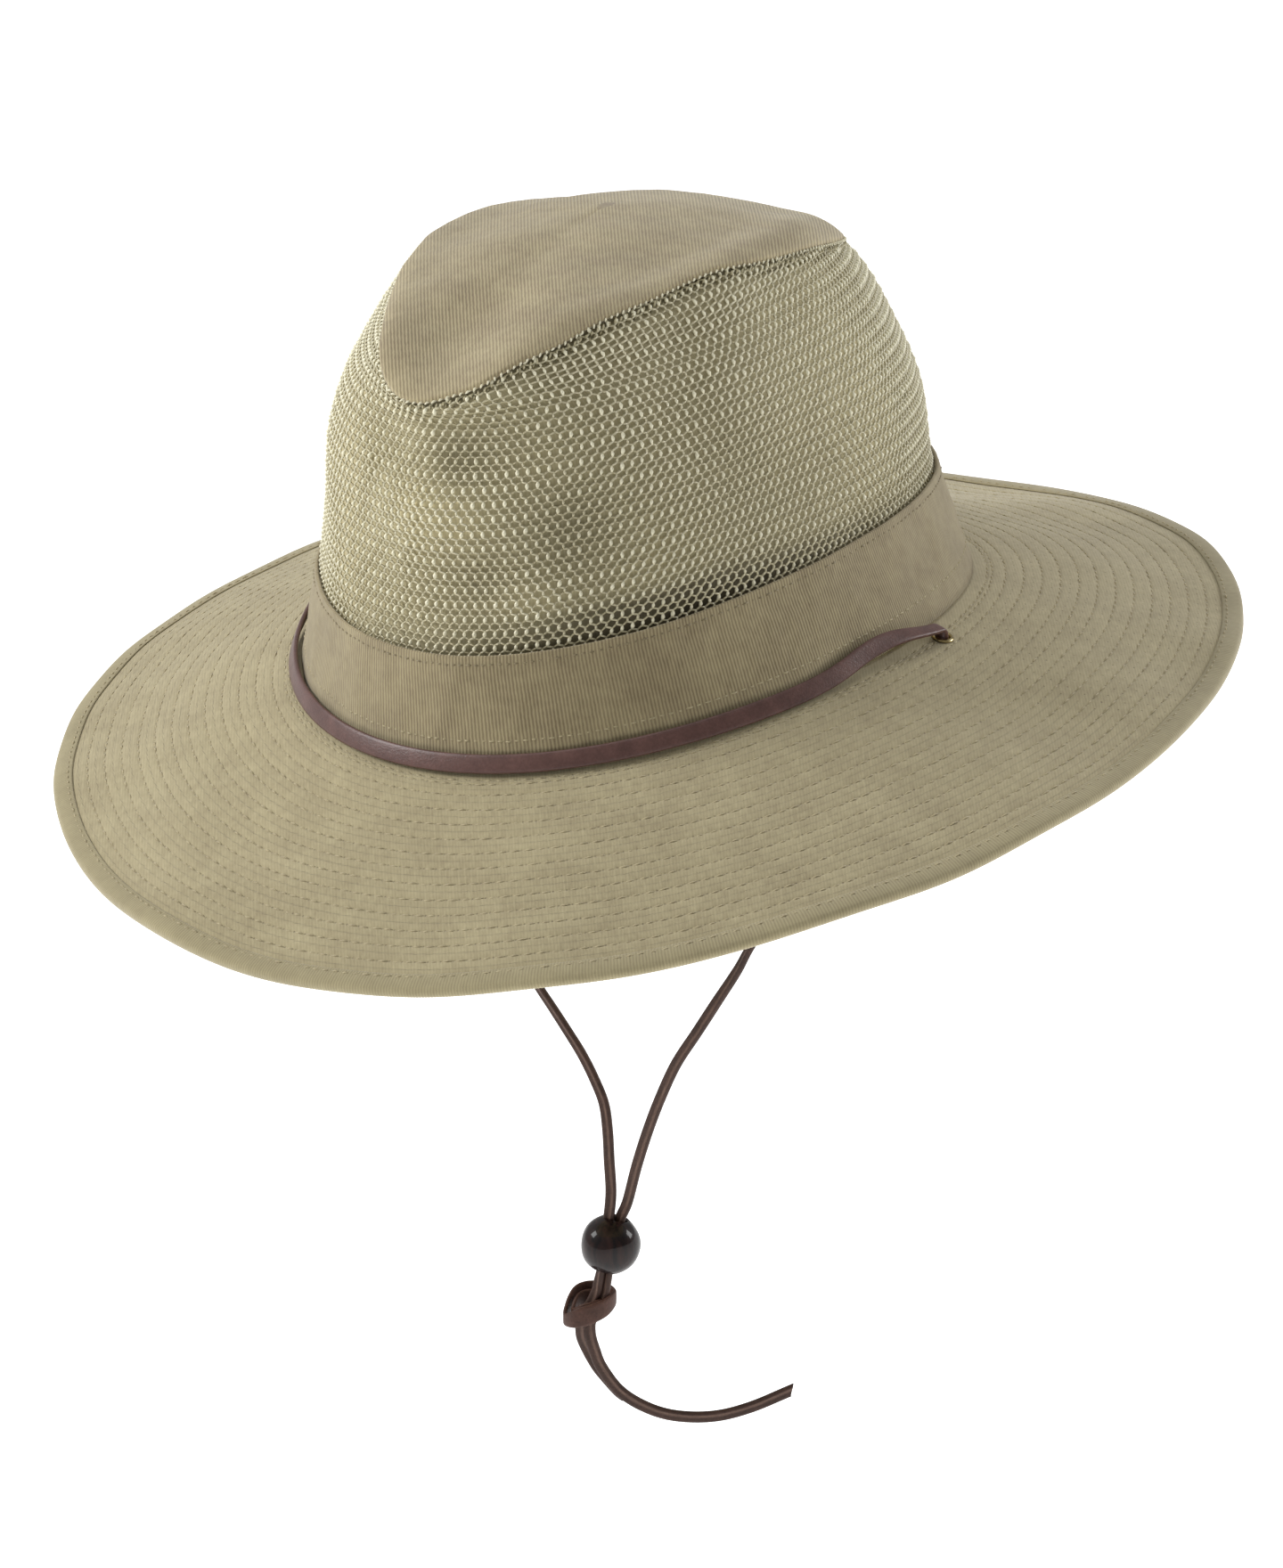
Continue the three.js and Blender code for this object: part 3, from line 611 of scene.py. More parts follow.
# The chin cord: each strand is one lace from its eyelet through the bead and the knot to the end of its tail.
# The rows are places in millimetres, from under the brim down.
LEFT_CORD = np.array([
    (89.8, 1.3, -4), (87.4, 1.1, -9.5), (81.8, 0.3, -19.5), (72.3, -1.6, -34.5), (61.8, -3.7, -49.5),
    (51, -5.6, -64.5), (41, -6.9, -78), (31.6, -7.6, -90), (26.2, -8.1, -98.8), (19.3, -8.6, -108.7),
    (12.2, -9.2, -119), (5.2, -9.7, -129), (-0.1, -10.3, -139), (-5.2, -10.7, -150.1),
    (-10.1, -10.9, -162.3), (-14.4, -10.9, -174.5), (-17.2, -11.4, -180.5), (-18.8, -12.3, -187.8),
    (-20.9, -13.6, -195.5),
    (-21.9, -14.4, -200.2), (-22.5, -14.9, -202.9), (-24.5, -16.4, -207.4), (-26.2, -17.6, -211.1),
    (-26.6, -18.0, -213.8), (-26.5, -18.0, -216.6), (-25.9, -17.6, -220.4), (-24.6, -16.8, -226),
    (-20.7, -14.4, -234.1), (-14.7, -10.6, -240.1), (-7.6, -6.2, -243.7), (1.6, -0.5, -244.9),
    (10.6, 5.2, -243.1), (21.1, 11.7, -238.7),
])
RIGHT_CORD = np.array([
    (-89.8, 1.3, -4), (-88, 1.1, -9.5), (-84.4, 0.3, -19.5), (-78.8, -1.6, -34.5), (-72.7, -3.7, -50),
    (-66, -5.4, -66), (-58, -6.8, -82), (-49.3, -7.9, -97.5), (-39.3, -8.7, -112.1),
    (-34.9, -8.9, -118.3), (-30.1, -9.3, -125), (-25.8, -9.7, -131.3), (-22.2, -10.2, -138),
    (-19.5, -10.6, -145), (-18.7, -11.2, -153), (-18.7, -11.8, -162), (-18.7, -12.4, -171.5),
    (-19.8, -13.1, -179.5), (-21.4, -13.9, -187.8), (-22.9, -14.8, -195.5),
    (-23.9, -15.5, -200.0), (-24.5, -16.1, -202.7), (-26.6, -17.6, -207.2), (-28.4, -18.9, -210.9),
    (-28.9, -18.9, -213.8), (-29.1, -18.4, -216.8), (-28.6, -17.3, -220.6), (-27.4, -16.4, -224.6),
    (-25.9, -15.4, -228.3), (-22.1, -13, -235.2), (-19.8, -11.6, -237.8),
])
CORD_FACING = np.array((0.53, -0.848, 0))

# How far each lace is turned edge on, in degrees, at heights from the eyelet down to its tail.
LEFT_TURNS = ((-20, 0), (-60, 8), (-90, 78), (-112, 35), (-150, 20), (-178, 30), (-196, 62), (-206, 20),
              (-216, 0))
RIGHT_TURNS = ((-20, 60), (-100, 52), (-130, 30), (-160, 22), (-174, 5), (-186, 40), (-196, 62), (-206, 20),
               (-216, 10))
CORD_TOP = -0.7
CORD_STEP = 1.0
CORD_HALF_WIDTH = 1.6
CORD_HALF_THICKNESS = 0.95
TAIL_HALF_WIDTH = 1.75
TAIL_HALF_THICKNESS = 0.85
TAIL_SPREADS_OVER = 8
KNOT_HEIGHT = -206
END_CUT = 1.3  # how far the end of a tail is cut aslant
EYELET_ANGLE = 0.014
EYELET_SHARE = 0.085


def smooth_line(points, spacing):
    """Even points on a smooth curve through the given ones."""
    rows = lengthened(points)
    part = np.linspace(0, 1, 24, endpoint=False)[:, None]
    fine = np.vstack([*[through(*rows[k:k + 4], part) for k in range(len(points) - 1)], points[-1:]])
    run = run_along(fine)
    even = np.linspace(0, run[-1], int(run[-1] / spacing) + 2)
    return np.stack([np.interp(even, run, fine[:, k]) for k in range(3)], -1)


def closed_curve(rows, steps):
    """Even steps round a smooth closed curve through the rows, all columns alike."""
    place = np.arange(steps) * len(rows) / steps
    first = place.astype(int)
    around = [rows[(first + k) % len(rows)] for k in (-1, 0, 1, 2)]
    return through(*around, (place - first)[:, None])


# The groove along the folded lace: its depth, place and spread against the lace's half width.
CORD_GROOVE = 0.55
CORD_GROOVE_PLACE = -0.15
CORD_GROOVE_SPREAD = 0.2


def folded_section():
    """Outline of a lace folded in half lengthwise: two soft lobes with a groove between."""
    outline = rounded(20, 0.75, 0.8)
    groove = CORD_GROOVE * bump(outline[:, 0] - CORD_GROOVE_PLACE, CORD_GROOVE_SPREAD)
    outline[:, 1] -= groove * (outline[:, 1] > 0)
    return outline


def eyelet_seat(angle):
    point = brim_offset(angle, EYELET_SHARE, 0.0)
    return point, normal_at(brim_point, np.asarray(angle), np.asarray(EYELET_SHARE), BRIM_STEP)


SEATS = {"left": eyelet_seat(EYELET_ANGLE), "right": eyelet_seat(math.pi - EYELET_ANGLE)}


def chin_cord(side, rows, turns):
    """One strand, its line and its length in metres."""
    point, normal = SEATS[side]
    line = smooth_line(np.vstack([point + normal * CORD_TOP, rows]), CORD_STEP)
    lowest = np.minimum.accumulate(line[:, 2])
    heights, degrees = np.array(turns[::-1], float).T
    turn = np.radians(np.interp(lowest, heights, degrees))[:, None]
    tangent = unit(np.gradient(line, axis=0))
    flat = unit(np.cross(CORD_FACING, tangent))
    square = np.cross(tangent, flat)
    across = flat * np.cos(turn) + square * np.sin(turn)
    lift = square * np.cos(turn) - flat * np.sin(turn)
    in_tail = np.clip((KNOT_HEIGHT - lowest) / TAIL_SPREADS_OVER, 0, 1)[:, None, None]
    width = CORD_HALF_WIDTH + (TAIL_HALF_WIDTH - CORD_HALF_WIDTH) * in_tail
    height = CORD_HALF_THICKNESS + (TAIL_HALF_THICKNESS - CORD_HALF_THICKNESS) * in_tail
    section = folded_section()
    rings = line[:, None] + across[:, None] * width * section[:, :1] + lift[:, None] * height * section[:, 1:]
    rings[-1] += tangent[-1] * (section[:, :1] * END_CUT)
    piece = closed_wall(f"chin_lace_{side}", rings, cord_leather, "cord_leather",
                        caps=np.stack([line[0], line[-1]]))
    run = run_along(line) * MM
    flat_map(piece, "cloth", *np.meshgrid(np.linspace(0, 1, len(section) + 1), run))
    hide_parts(f"chin_cord_{side}", f"tail_cord_{side}")
    return piece, line, run[-1]


# The bead: turned, drilled and a little uneven.
BEAD_DIAMETER = 17.1
BEAD_BORE = 6.6
BEAD_LENGTH = 17.2
BEAD_RIM = 0.5
BEAD_LIP = (0.15, 0.35)
BEAD_UNEVEN = 0.1
BEAD_MIDDLE = np.array((-20.1, -13, -187.8))
BEAD_AXIS = unit(np.array((0.163, 0.311, 0.936)))


def turned_bead():
    bore, half, radius = BEAD_BORE / 2, BEAD_LENGTH / 2, BEAD_DIAMETER / 2
    end = math.acos((bore + BEAD_RIM) / radius)
    turn = np.linspace(-end, end, 30)
    outside = np.stack([radius * np.cos(turn), half * np.sin(turn)], -1)
    mouth = half * math.sin(end) - BEAD_RIM
    top = np.array([(bore + BEAD_LIP[0], mouth + BEAD_LIP[1]), (bore, mouth)])
    rings = lathe(np.vstack([top[::-1] * (1, -1), outside, top]), BEAD_MIDDLE, BEAD_AXIS, 56)
    uneven = SoftNoise(12)
    rings = rings + unit(rings - BEAD_MIDDLE) * (BEAD_UNEVEN * uneven(rings))[..., None]
    return closed_wall("turned_bead", rings, wood, "lacquered_wood", "bead")


# The knot: one broad turn of doubled lace drawn round both strands, with a tighter turn inside it.
# The rows run round it in millimetres from its middle, along its own three ways, with half the turn's width.
KNOT_MIDDLE = np.array((-26.83, -16.82, -206.72))
KNOT_WAYS = np.array((
    (0.861, 0.501, -0.081),  # across
    (-0.115, 0.349, 0.93),  # up
    (0.495, -0.792, 0.358),  # near
))
# Its columns are across, up, near and half width.
KNOT_TURN = np.array([
    (-6.7, -3.9, 0.4, 1.9), (-4.5, -3.8, 3.2, 2.5), (-2.3, -3.0, 4.3, 2.95), (0.0, -2.4, 4.6, 3.0),
    (2.3, -1.5, 4.3, 2.9), (4.8, -0.3, 3.2, 2.75), (6.6, 1.2, 1.5, 2.45), (7.3, 2.2, -0.2, 2.2),
    (6.9, 2.7, -2.0, 2.4), (5.3, 3.3, -3.5, 2.7), (2.3, 3.9, -4.4, 2.9), (-0.8, 3.8, -4.4, 2.9),
    (-3.3, 2.8, -3.6, 2.9), (-5.0, 0.9, -2.4, 2.7), (-6.3, -1.9, -1.0, 2.3),
])
KNOT_WIDTH_WAY = np.array((0.0, 0.95, 0.3))
KNOT_THICKNESS = 1.2
INNER_TURN = np.array((0.66, 0.55, 0.62, 0.7))  # the inner turn's size against the outer one's
INNER_RISE = 0.3


def knot_turn(rows):
    """A closed ring of flat lace from rows of the knot's table."""
    turn = closed_curve(rows, 96)
    line = turn[:, :3]
    tangent = unit(np.roll(line, -1, axis=0) - np.roll(line, 1, axis=0))
    broad = unit(KNOT_WIDTH_WAY - tangent * (tangent @ KNOT_WIDTH_WAY)[:, None] * 0.5)
    outward = unit(np.cross(tangent, broad))
    shape = rounded(16, 0.4, 0.6)
    rings = (line[:, None] + broad[:, None] * turn[:, 3:, None] * shape[:, :1]
             + outward[:, None] * (KNOT_THICKNESS / 2) * shape[:, 1:])
    return KNOT_MIDDLE + rings @ KNOT_WAYS


def knot():
    parts = []
    for rows in (KNOT_TURN, KNOT_TURN * INNER_TURN + (0, INNER_RISE, 0, 0)):
        rings = knot_turn(rows)
        parts.append((rings.reshape(-1, 3), ring_faces(*rings.shape[:2], True).tolist()))
    return new_piece("overhand_knot", *joined(parts), knot_leather, "cord_leather", "knot")


bead = turned_bead()
knot_piece = knot()
left_lace, left_line, left_length = chin_cord("left", LEFT_CORD, LEFT_TURNS)
right_lace, right_line, right_length = chin_cord("right", RIGHT_CORD, RIGHT_TURNS)


# The tip: one cap of twill whose edge rolls down to its seam.
COLUMNS = 384
TIP_THICKNESS = 1
TIP_EDGE_OUTER = 1.3
TIP_OUTER = 1.7
TIP_ROLL_LEVELS = 0.35
TIP_PUCKER = 0.04
EDGE_FOLD = 0.035
EDGE_SINK = 0.75  # how much closer to the net the folded edge lies outside
EDGE_SINK_INSIDE = 0.1
GRAIN = math.radians(32)  # turn of the cloth's grain from front to back


def grain_map(piece, rings):
    """Maps the cloth as if laid flat, with its grain turned, on rings of points in millimetres."""
    closed = np.concatenate([rings, rings[:, :1]], 1) * MM
    across = closed[..., 0] * math.cos(GRAIN) + closed[..., 1] * math.sin(GRAIN)
    along = closed[..., 1] * math.cos(GRAIN) - closed[..., 0] * math.sin(GRAIN) + closed[..., 2]
    flat_map(piece, "cloth", across, along)


def tip():
    angles = round_angles(COLUMNS)
    rows = np.concatenate([np.linspace(0, 0.03, 7), np.linspace(0.04, 0.16, 9), np.linspace(0.19, 0.97, 27)])

    def face(depth, sink, shares):
        seam = tip_seam(angles)
        level = seam + (TIP_MIDDLE_LEVEL - seam) * shares[:, None]
        outer = TIP_OUTER + (TIP_EDGE_OUTER - TIP_OUTER) * bump(level - seam, TIP_ROLL_LEVELS)
        lift = outer - depth - sink * bump(level - seam, EDGE_FOLD)
        return crown_offset(angles, level, lift, TIP_PUCKER)

    rings = np.concatenate([face(TIP_THICKNESS, EDGE_SINK_INSIDE, rows[::-1]), face(0, EDGE_SINK, rows)])
    caps = np.stack([rings[0].mean(0), rings[-1].mean(0)])
    grain_map(closed_wall("tip_cloth", rings, twill, "cotton_twill", "crown_tip", caps=caps), rings)


# The band: a folded strip of twill with its ribs upright.
BAND_OUTER = 1.5
BAND_INNER = 0.4
BAND_START_LEVEL = 0.01
BAND_PUCKER = 0.06
BAND_EDGES = (0.2, 0.45)


def wall(name, levels, outer, inner, pucker, material, slot, node, edges=(0.0, 0.0)):
    """A wall of cloth on the crown from rows of levels, mapped by its girth and its height.
    edges is how much thinner each face is at the wall's foot and at its top."""
    level = np.broadcast_to(levels.reshape(len(levels), -1), (len(levels), COLUMNS))
    share = np.linspace(0, 1, len(levels))[:, None]
    thin = edges[0] * bump(share, 0.02) + edges[1] * bump(share - 1, 0.02)
    out = crown_offset(round_angles(COLUMNS), level, outer - thin, pucker)
    back = crown_offset(round_angles(COLUMNS), level, inner + thin, pucker)[::-1]
    piece = closed_wall(name, np.concatenate([out, back]), material, slot, node)
    rise = run_along(out[:, 0])
    girth = run_along(np.vstack([back[0], back[0, :1]]))
    heights = np.concatenate([rise, rise[-1] + rise, [2 * rise[-1]]])
    flat_map(piece, "cloth", *np.meshgrid(girth * MM, heights * MM))
    return piece


def band():
    levels = np.concatenate([np.linspace(BAND_START_LEVEL, BAND_LEVEL - 0.12, 16),
                             np.linspace(BAND_LEVEL - 0.11, BAND_LEVEL, 8)])
    wall("band_cloth", levels, BAND_OUTER, BAND_INNER, BAND_PUCKER, band_twill, "cotton_twill", "side_band",
         edges=BAND_EDGES)


# The lining behind the net. Its foot stands clear of the net, and painted shade darkens its foot and top.
LINING_OUTER = -1.35
LINING_INNER = -2.05
LINING_PUCKER = 0.1
LINING_TOP = -0.05
LINING_START = 1.75
LINING_FOOT = 2.42  # level at which the painted shade at the foot ends
LINING_SINKS = ((-2.2, 0.6, 0.28), (0.1, 0.5, 0.2))  # where that level is lower: angle, turn, depth
LINING_CLEAR = 1.4
LINING_TURN = 1.9  # level at which the lining turns out to the band
LINING_TO_BAND = 1.6  # how far it stands out there
LINING_TO_TIP = 1.3
# Painted shade: a share of the shade colour over all the lining, and more of it under the tip's edge.
LINING_SHADE = 0.24
TOP_DARK = 0.5
TOP_DARK_REACH = 0.16
FOOT_DARK_MIDDLE = -0.7  # angle at which the foot's painted shade is darkest and it stands furthest clear
FOOT_DARK_SPREAD = 0.75
# Where the net and its lining hang slack (above 0) or stand out (below 0), and are darkened or lightened with
# painted shade and light,
# by angle, level, spread of the angle, reach of the level, and amount.
SLACK = (
    (-1.55, 3.6, 0.2, 0.45, -0.3), (-1.22, 2.55, 0.14, 0.3, -0.17), (-1.47, 4.35, 0.12, 0.4, 0.24),
    (-1.08, 3.4, 0.16, 0.5, 0.22), (-1.4, 2.95, 0.1, 0.3, 0.16), (-2.3, 3.5, 0.5, 1.8, -0.2),
    (-0.82, 2.9, 0.12, 0.5, -0.12), (-0.5, 3.6, 0.16, 0.8, 0.1), (0.05, 4.0, 0.35, 1.8, -0.12),
)
SLACK_DEPTH = -4.5  # millimetres for an amount of 1


def slack(angle, level):
    return sum(amount * bump(turned(angle, middle), spread) * bump(level - height, reach)
               for middle, height, spread, reach, amount in SLACK)


def lining():
    angles = round_angles(COLUMNS)
    share = np.concatenate([np.linspace(0, 0.08, 10), np.linspace(0.1, 0.97, 22), np.linspace(0.98, 1, 4)])
    top = tip_seam(angles) - LINING_TOP
    levels = LINING_START + (top - LINING_START) * share[:, None]
    sinks = (depth * bump(turned(angles, start), turn) for start, turn, depth in LINING_SINKS)
    foot = LINING_FOOT - sum(sinks)
    dark_share = bump(turned(angles, FOOT_DARK_MIDDLE), FOOT_DARK_SPREAD)
    clear = LINING_CLEAR * (0.15 + 0.85 * dark_share) * soft_step(foot - levels, 0.05)
    above_band = soft_step(levels - LINING_TURN, 0.02)
    lie = (SLACK_DEPTH * slack(angles, levels) - clear) * above_band
    lie = lie + LINING_TO_BAND * (1 - above_band) + LINING_TO_TIP * bump(levels - top, 0.05)
    piece = wall("lining_cloth", levels, LINING_OUTER + lie, LINING_INNER + lie, LINING_PUCKER, lining_cloth,
                 "mesh_lining", "crown_lining")
    # Painted shade on each point: dark at the foot, most towards the front's right, and under the tip's edge;
    # lighter or darker with the slack.
    dark = (0.05 + 0.6 * dark_share) * soft_step(foot - levels, 0.03)
    dark = dark + TOP_DARK * bump(levels - top, TOP_DARK_REACH)
    dark = dark + LINING_SHADE + slack(angles, levels)
    point_values(piece, "painted_shade", np.clip(np.concatenate([dark, dark[::-1]]), 0, 1))


# The net: six-sided cells of twisted yarn, with an upright knot between each two cells.
NET_CELL = 2.75
NET_ROW = 1.85
NET_GIRTH = 310  # millimetres of net on each side of the front, a little more than there are
NET_MIDDLE = -0.5
NET_START_LEVEL = 1.86
NET_TUCK = 0.06
NET_CUT = 0.4
KNOT_HALF = 0.72
KNOT_HALF_WIDTH = 0.54
LESSER_KNOT = 0.72  # size of the knots in every second row against the others
# Painted sheen of the knots in every second row against the others.
LESSER_SHEEN = 0.45
KNOT_LEAN = 0.25
KNOT_LEAN_SPREAD = 0.12
KNOT_SIZE_SPREAD = 0.08
KNOT_CREST = 0.4
KNOT_SINK = 0.1
YARN_HALF_WIDTH = 0.36
YARN_FLATNESS = 0.9
# Painted sheen of the yarn between the knots.
YARN_SHEEN = 0.04
TOP_YARN_SHEEN = 0.32  # how much more painted sheen the yarn has that lies on top
LESSER_YARN = 0.75  # width of the yarn that lies under against the one that lies on top
FOOT_SHADE = 0.35  # how much the painted sheen is darkened at the net's foot, as painted shade
SLACK_DULLS = 2.2  # how much the painted sheen darkens where the net hangs slack and lightens where it stands out, for an amount of 1
yarn_lay = SoftNoise(55)


def net_lattice():
    """Where the net's knots lie: arrays by row and half cell, with NaN where the net is cut."""
    angles = FRONT + np.linspace(-math.pi, math.pi, 721)
    levels = np.linspace(NET_START_LEVEL, TIP_LEVEL + 0.3, 150)
    rise = run_along(crown_offset(angles[None], levels[:, None], NET_MIDDLE))
    top = np.array([np.interp(tip_seam(a) + NET_TUCK, levels, rise[:, k]) for k, a in enumerate(angles)])
    rows = int(top.max() / NET_ROW) + 1
    half_cells = int(NET_GIRTH / NET_CELL) * 2
    angle_grid = np.full((rows, 2 * half_cells + 1), np.nan)
    level_grid = np.full_like(angle_grid, np.nan)
    for row in range(rows):
        height = row * NET_ROW
        level = np.array([np.interp(height, rise[:, k], levels) for k in range(len(angles))])
        run = run_along(crown_offset(angles, level, NET_MIDDLE))
        run -= np.interp(FRONT, angles, run)
        cells = np.arange(-half_cells, half_cells + 1)
        cells = cells[cells % 2 == row % 2]
        place = cells * NET_CELL / 2
        inside = (place > run[0] + NET_CUT) & (place < run[-1] - NET_CUT)
        cells, place = cells[inside], place[inside]
        angle = np.interp(place, run, angles)
        kept = np.interp(angle, angles, top) > height
        angle_grid[row, cells[kept] + half_cells] = angle[kept]
        level_grid[row, cells[kept] + half_cells] = np.interp(place[kept], run, level)
    return angle_grid, level_grid


def net():
    """The yarn in two halves: upright knots, and from each the two yarns that cross to the next row."""
    angle, level = net_lattice()
    there = ~np.isnan(angle)
    angle, level = np.where(there, angle, 0), np.where(there, level, 3)
    slackness = slack(angle, level)
    lie = NET_MIDDLE + SLACK_DEPTH * slackness
    middle = crown_offset(angle, level, lie)
    outward = normal_at(crown_point, angle, level, CROWN_STEP)
    up = unit(crown_offset(angle, level + 0.04, lie) - middle)
    lean = random.normal(KNOT_LEAN, KNOT_LEAN_SPREAD, angle.shape)
    up_leaning = unit(up + np.cross(up, outward) * lean[..., None])
    main_row = (np.arange(angle.shape[0]) % 2 == 0)[:, None]
    size = np.where(main_row, 1.0, LESSER_KNOT) * random.normal(1, KNOT_SIZE_SPREAD, angle.shape)
    reach = up_leaning * KNOT_HALF * size[..., None]
    low, high = middle - reach, middle + reach
    crest = middle + outward * (KNOT_CREST * size[..., None] - KNOT_SINK)
    rightward = np.clip(0.55 + 0.6 * yarn_lay(middle), 0, 1)  # which of the two crossing yarns lies on top
    # Painted shade on the yarn's sheen: darker at the foot and where the net hangs slack, lighter where it
    # stands out.
    lit = (1 - FOOT_SHADE * soft_step(LINING_FOOT - level, 0.05)) * (1 - SLACK_DULLS * slackness)
    for name, half, node in (("left", angle > FRONT, "crown_net"), ("right", angle <= FRONT, None)):
        chosen = there & half
        knots = np.stack([low[chosen], crest[chosen], high[chosen]], 1)
        width = np.array((0.6, 1, 0.6)) * KNOT_HALF_WIDTH * size[chosen][:, None]
        parts = [strands(knots, outward[chosen], width, width * YARN_FLATNESS, 5)]
        sheen = [(np.where(main_row, 1, LESSER_SHEEN) * lit)[chosen]]
        for way in (-1, 1):
            pair = chosen[:-1] & np.roll(there[1:], -way, axis=1)
            lines = np.stack([high[:-1][pair], np.roll(low[1:], -way, axis=1)[pair]], 1)
            on_top = rightward[:-1][pair] if way == 1 else 1 - rightward[:-1][pair]
            width = YARN_HALF_WIDTH * (LESSER_YARN + (1 - LESSER_YARN) * on_top)[:, None]
            parts.append(strands(lines, outward[:-1][pair], width, width * YARN_FLATNESS, 4))
            sheen.append((YARN_SHEEN + TOP_YARN_SHEEN * on_top) * lit[:-1][pair])
        piece = new_piece(f"net_{name}", *joined(parts), yarn, "polyester_net", node)
        share = [np.repeat(values, len(part[0]) // len(values)) for values, part in zip(sheen, parts)]
        point_values(piece, "sheen", np.concatenate(share))


# The net is gathered under the tip's edge into slanted loops: how far each row drops, and its painted sheen,
# less on the lower rows as painted shade under the edge.
GATHER_ROWS = ((0.015, 0.8), (0.09, 0.1), (0.15, 0.0))
GATHER_PITCH = 1.9
GATHER_HALF = 0.7
GATHER_HALF_WIDTH = 0.32
GATHER_SLANT = 0.9
GATHER_LIFT = 0.8
GATHER_FALL = 12  # how much closer to the crown a loop lies for a drop of one level
GATHER_SHIFT = 9  # how far a row is shifted along the seam for a drop of one level
GATHER_CREST = 0.2


def seam_gathers():
    angles = FRONT + np.linspace(-math.pi, math.pi, 1441)
    run = run_along(crown_offset(angles, tip_seam(angles), 0.45))
    parts = []
    sheen = []
    for drop, shine in GATHER_ROWS:
        places = np.arange(GATHER_PITCH / 2 + drop * GATHER_SHIFT, run[-1], GATHER_PITCH)
        angle = np.interp(places, run, angles)
        level = tip_seam(angle) - drop
        middle = crown_offset(angle, level, GATHER_LIFT - GATHER_FALL * drop)
        outward = normal_at(crown_point, angle, level, CROWN_STEP)
        along = unit(crown_offset(angle + 0.01, tip_seam(angle + 0.01) - drop, 0.5) - middle)
        slant = unit(along + GATHER_SLANT * np.cross(outward, along) + random.normal(0, 0.15, middle.shape))
        half = GATHER_HALF * (1 + random.normal(0, 0.12, (len(angle), 1)))
        lines = np.stack([middle - slant * half, middle + outward * GATHER_CREST, middle + slant * half], 1)
        width = np.array((0.5, 1, 0.5)) * GATHER_HALF_WIDTH
        parts.append(strands(lines, outward, width, width, 5))
        sheen.append(np.full(len(parts[-1][0]), shine))
    piece = new_piece("net_gathers", *joined(parts), yarn, "polyester_net")
    point_values(piece, "sheen", np.concatenate(sheen))


# The brim: stitched twill, with its rows of stitches in shallow grooves.
STITCH_ROWS = 15  # rows by which the brim's width is divided
ROW_PITCH = 4.9  # mean distance between the rows
ROW_PLACES = np.array([1, 1.27, *range(2, STITCH_ROWS)])
GROOVE_DEPTH = 0.16
GROOVE_WIDTH = 0.35
PUFF = 0.04
PUFF_WIDTH = 1.7
# Distances from each row of stitches at which rings of points run, above and below.
TOP_OFFSETS = (-1.3, -0.55, -0.22, 0, 0.22, 0.55, 1.3)
LOW_OFFSETS = (-1.2, -0.25, 0.25, 1.2)
BINDING_FOLD = 2
BINDING_WIDTH = 6
BINDING_TAPE = 0.8
BINDING_PLAY = 0.12  # between the brim and the tape on each side
BINDING_RIBS = 1264
BINDING_RIB_HEIGHT = 0.05
BINDING_SEAM = 1.2  # from the tape's inner edge to its stitches
BINDING_ROLL = 1.4  # how deep the rounded fold reaches in from the edge
BINDING_GIRTH = 1075
BINDING_SPAN = 20  # millimetres of tape round its section
GAP = 0.3
BORE_RADIUS = 2.6


def nearest_row(share):
    """The nearest row of stitches and how far it is, in millimetres, at shares of the brim's width."""
    part = np.asarray(share) * STITCH_ROWS
    row = np.abs(part[..., None] - ROW_PLACES).argmin(-1)
    return row, (part - ROW_PLACES[row]) * ROW_PITCH


def brim_relief(share):
    """How the brim's face lies against its plain surface, in millimetres."""
    away = nearest_row(share)[1]
    inside = np.clip((np.asarray(share) * STITCH_ROWS - 0.5) * 4, 0, 1)
    return inside * (PUFF * (1 - bump(away, PUFF_WIDTH)) - GROOVE_DEPTH * bump(away, GROOVE_WIDTH))


def row_length(place):
    line = brim_point(2 * math.pi * np.arange(721) / 720, np.full(721, place / STITCH_ROWS))
    return run_along(line)[-1]


STITCHES_IN_ROW = np.array([round(row_length(place) / STITCH_LENGTH) for place in ROW_PLACES])


def edge_share(angle, distance):
    """The share of the brim's width that lies a distance inside its edge."""
    width = brim_point(angle, np.ones_like(angle)) - brim_point(angle, np.zeros_like(angle))
    return 1 - distance / np.linalg.norm(width, axis=-1)


def brim_rings(offsets, outermost):
    """Rows of shares across the brim, close together at the stitches, that end at the binding's fold."""
    places = (ROW_PLACES[:, None] + np.array(offsets) / ROW_PITCH).ravel()
    places = np.sort(places[places < STITCH_ROWS - 0.6])
    places = places[np.concatenate([[True], np.diff(places) > 0.02])]
    shares = np.concatenate([[-0.02, 0.02], places / STITCH_ROWS])
    return np.concatenate([np.repeat(shares[:, None], COLUMNS, 1), outermost[None]])


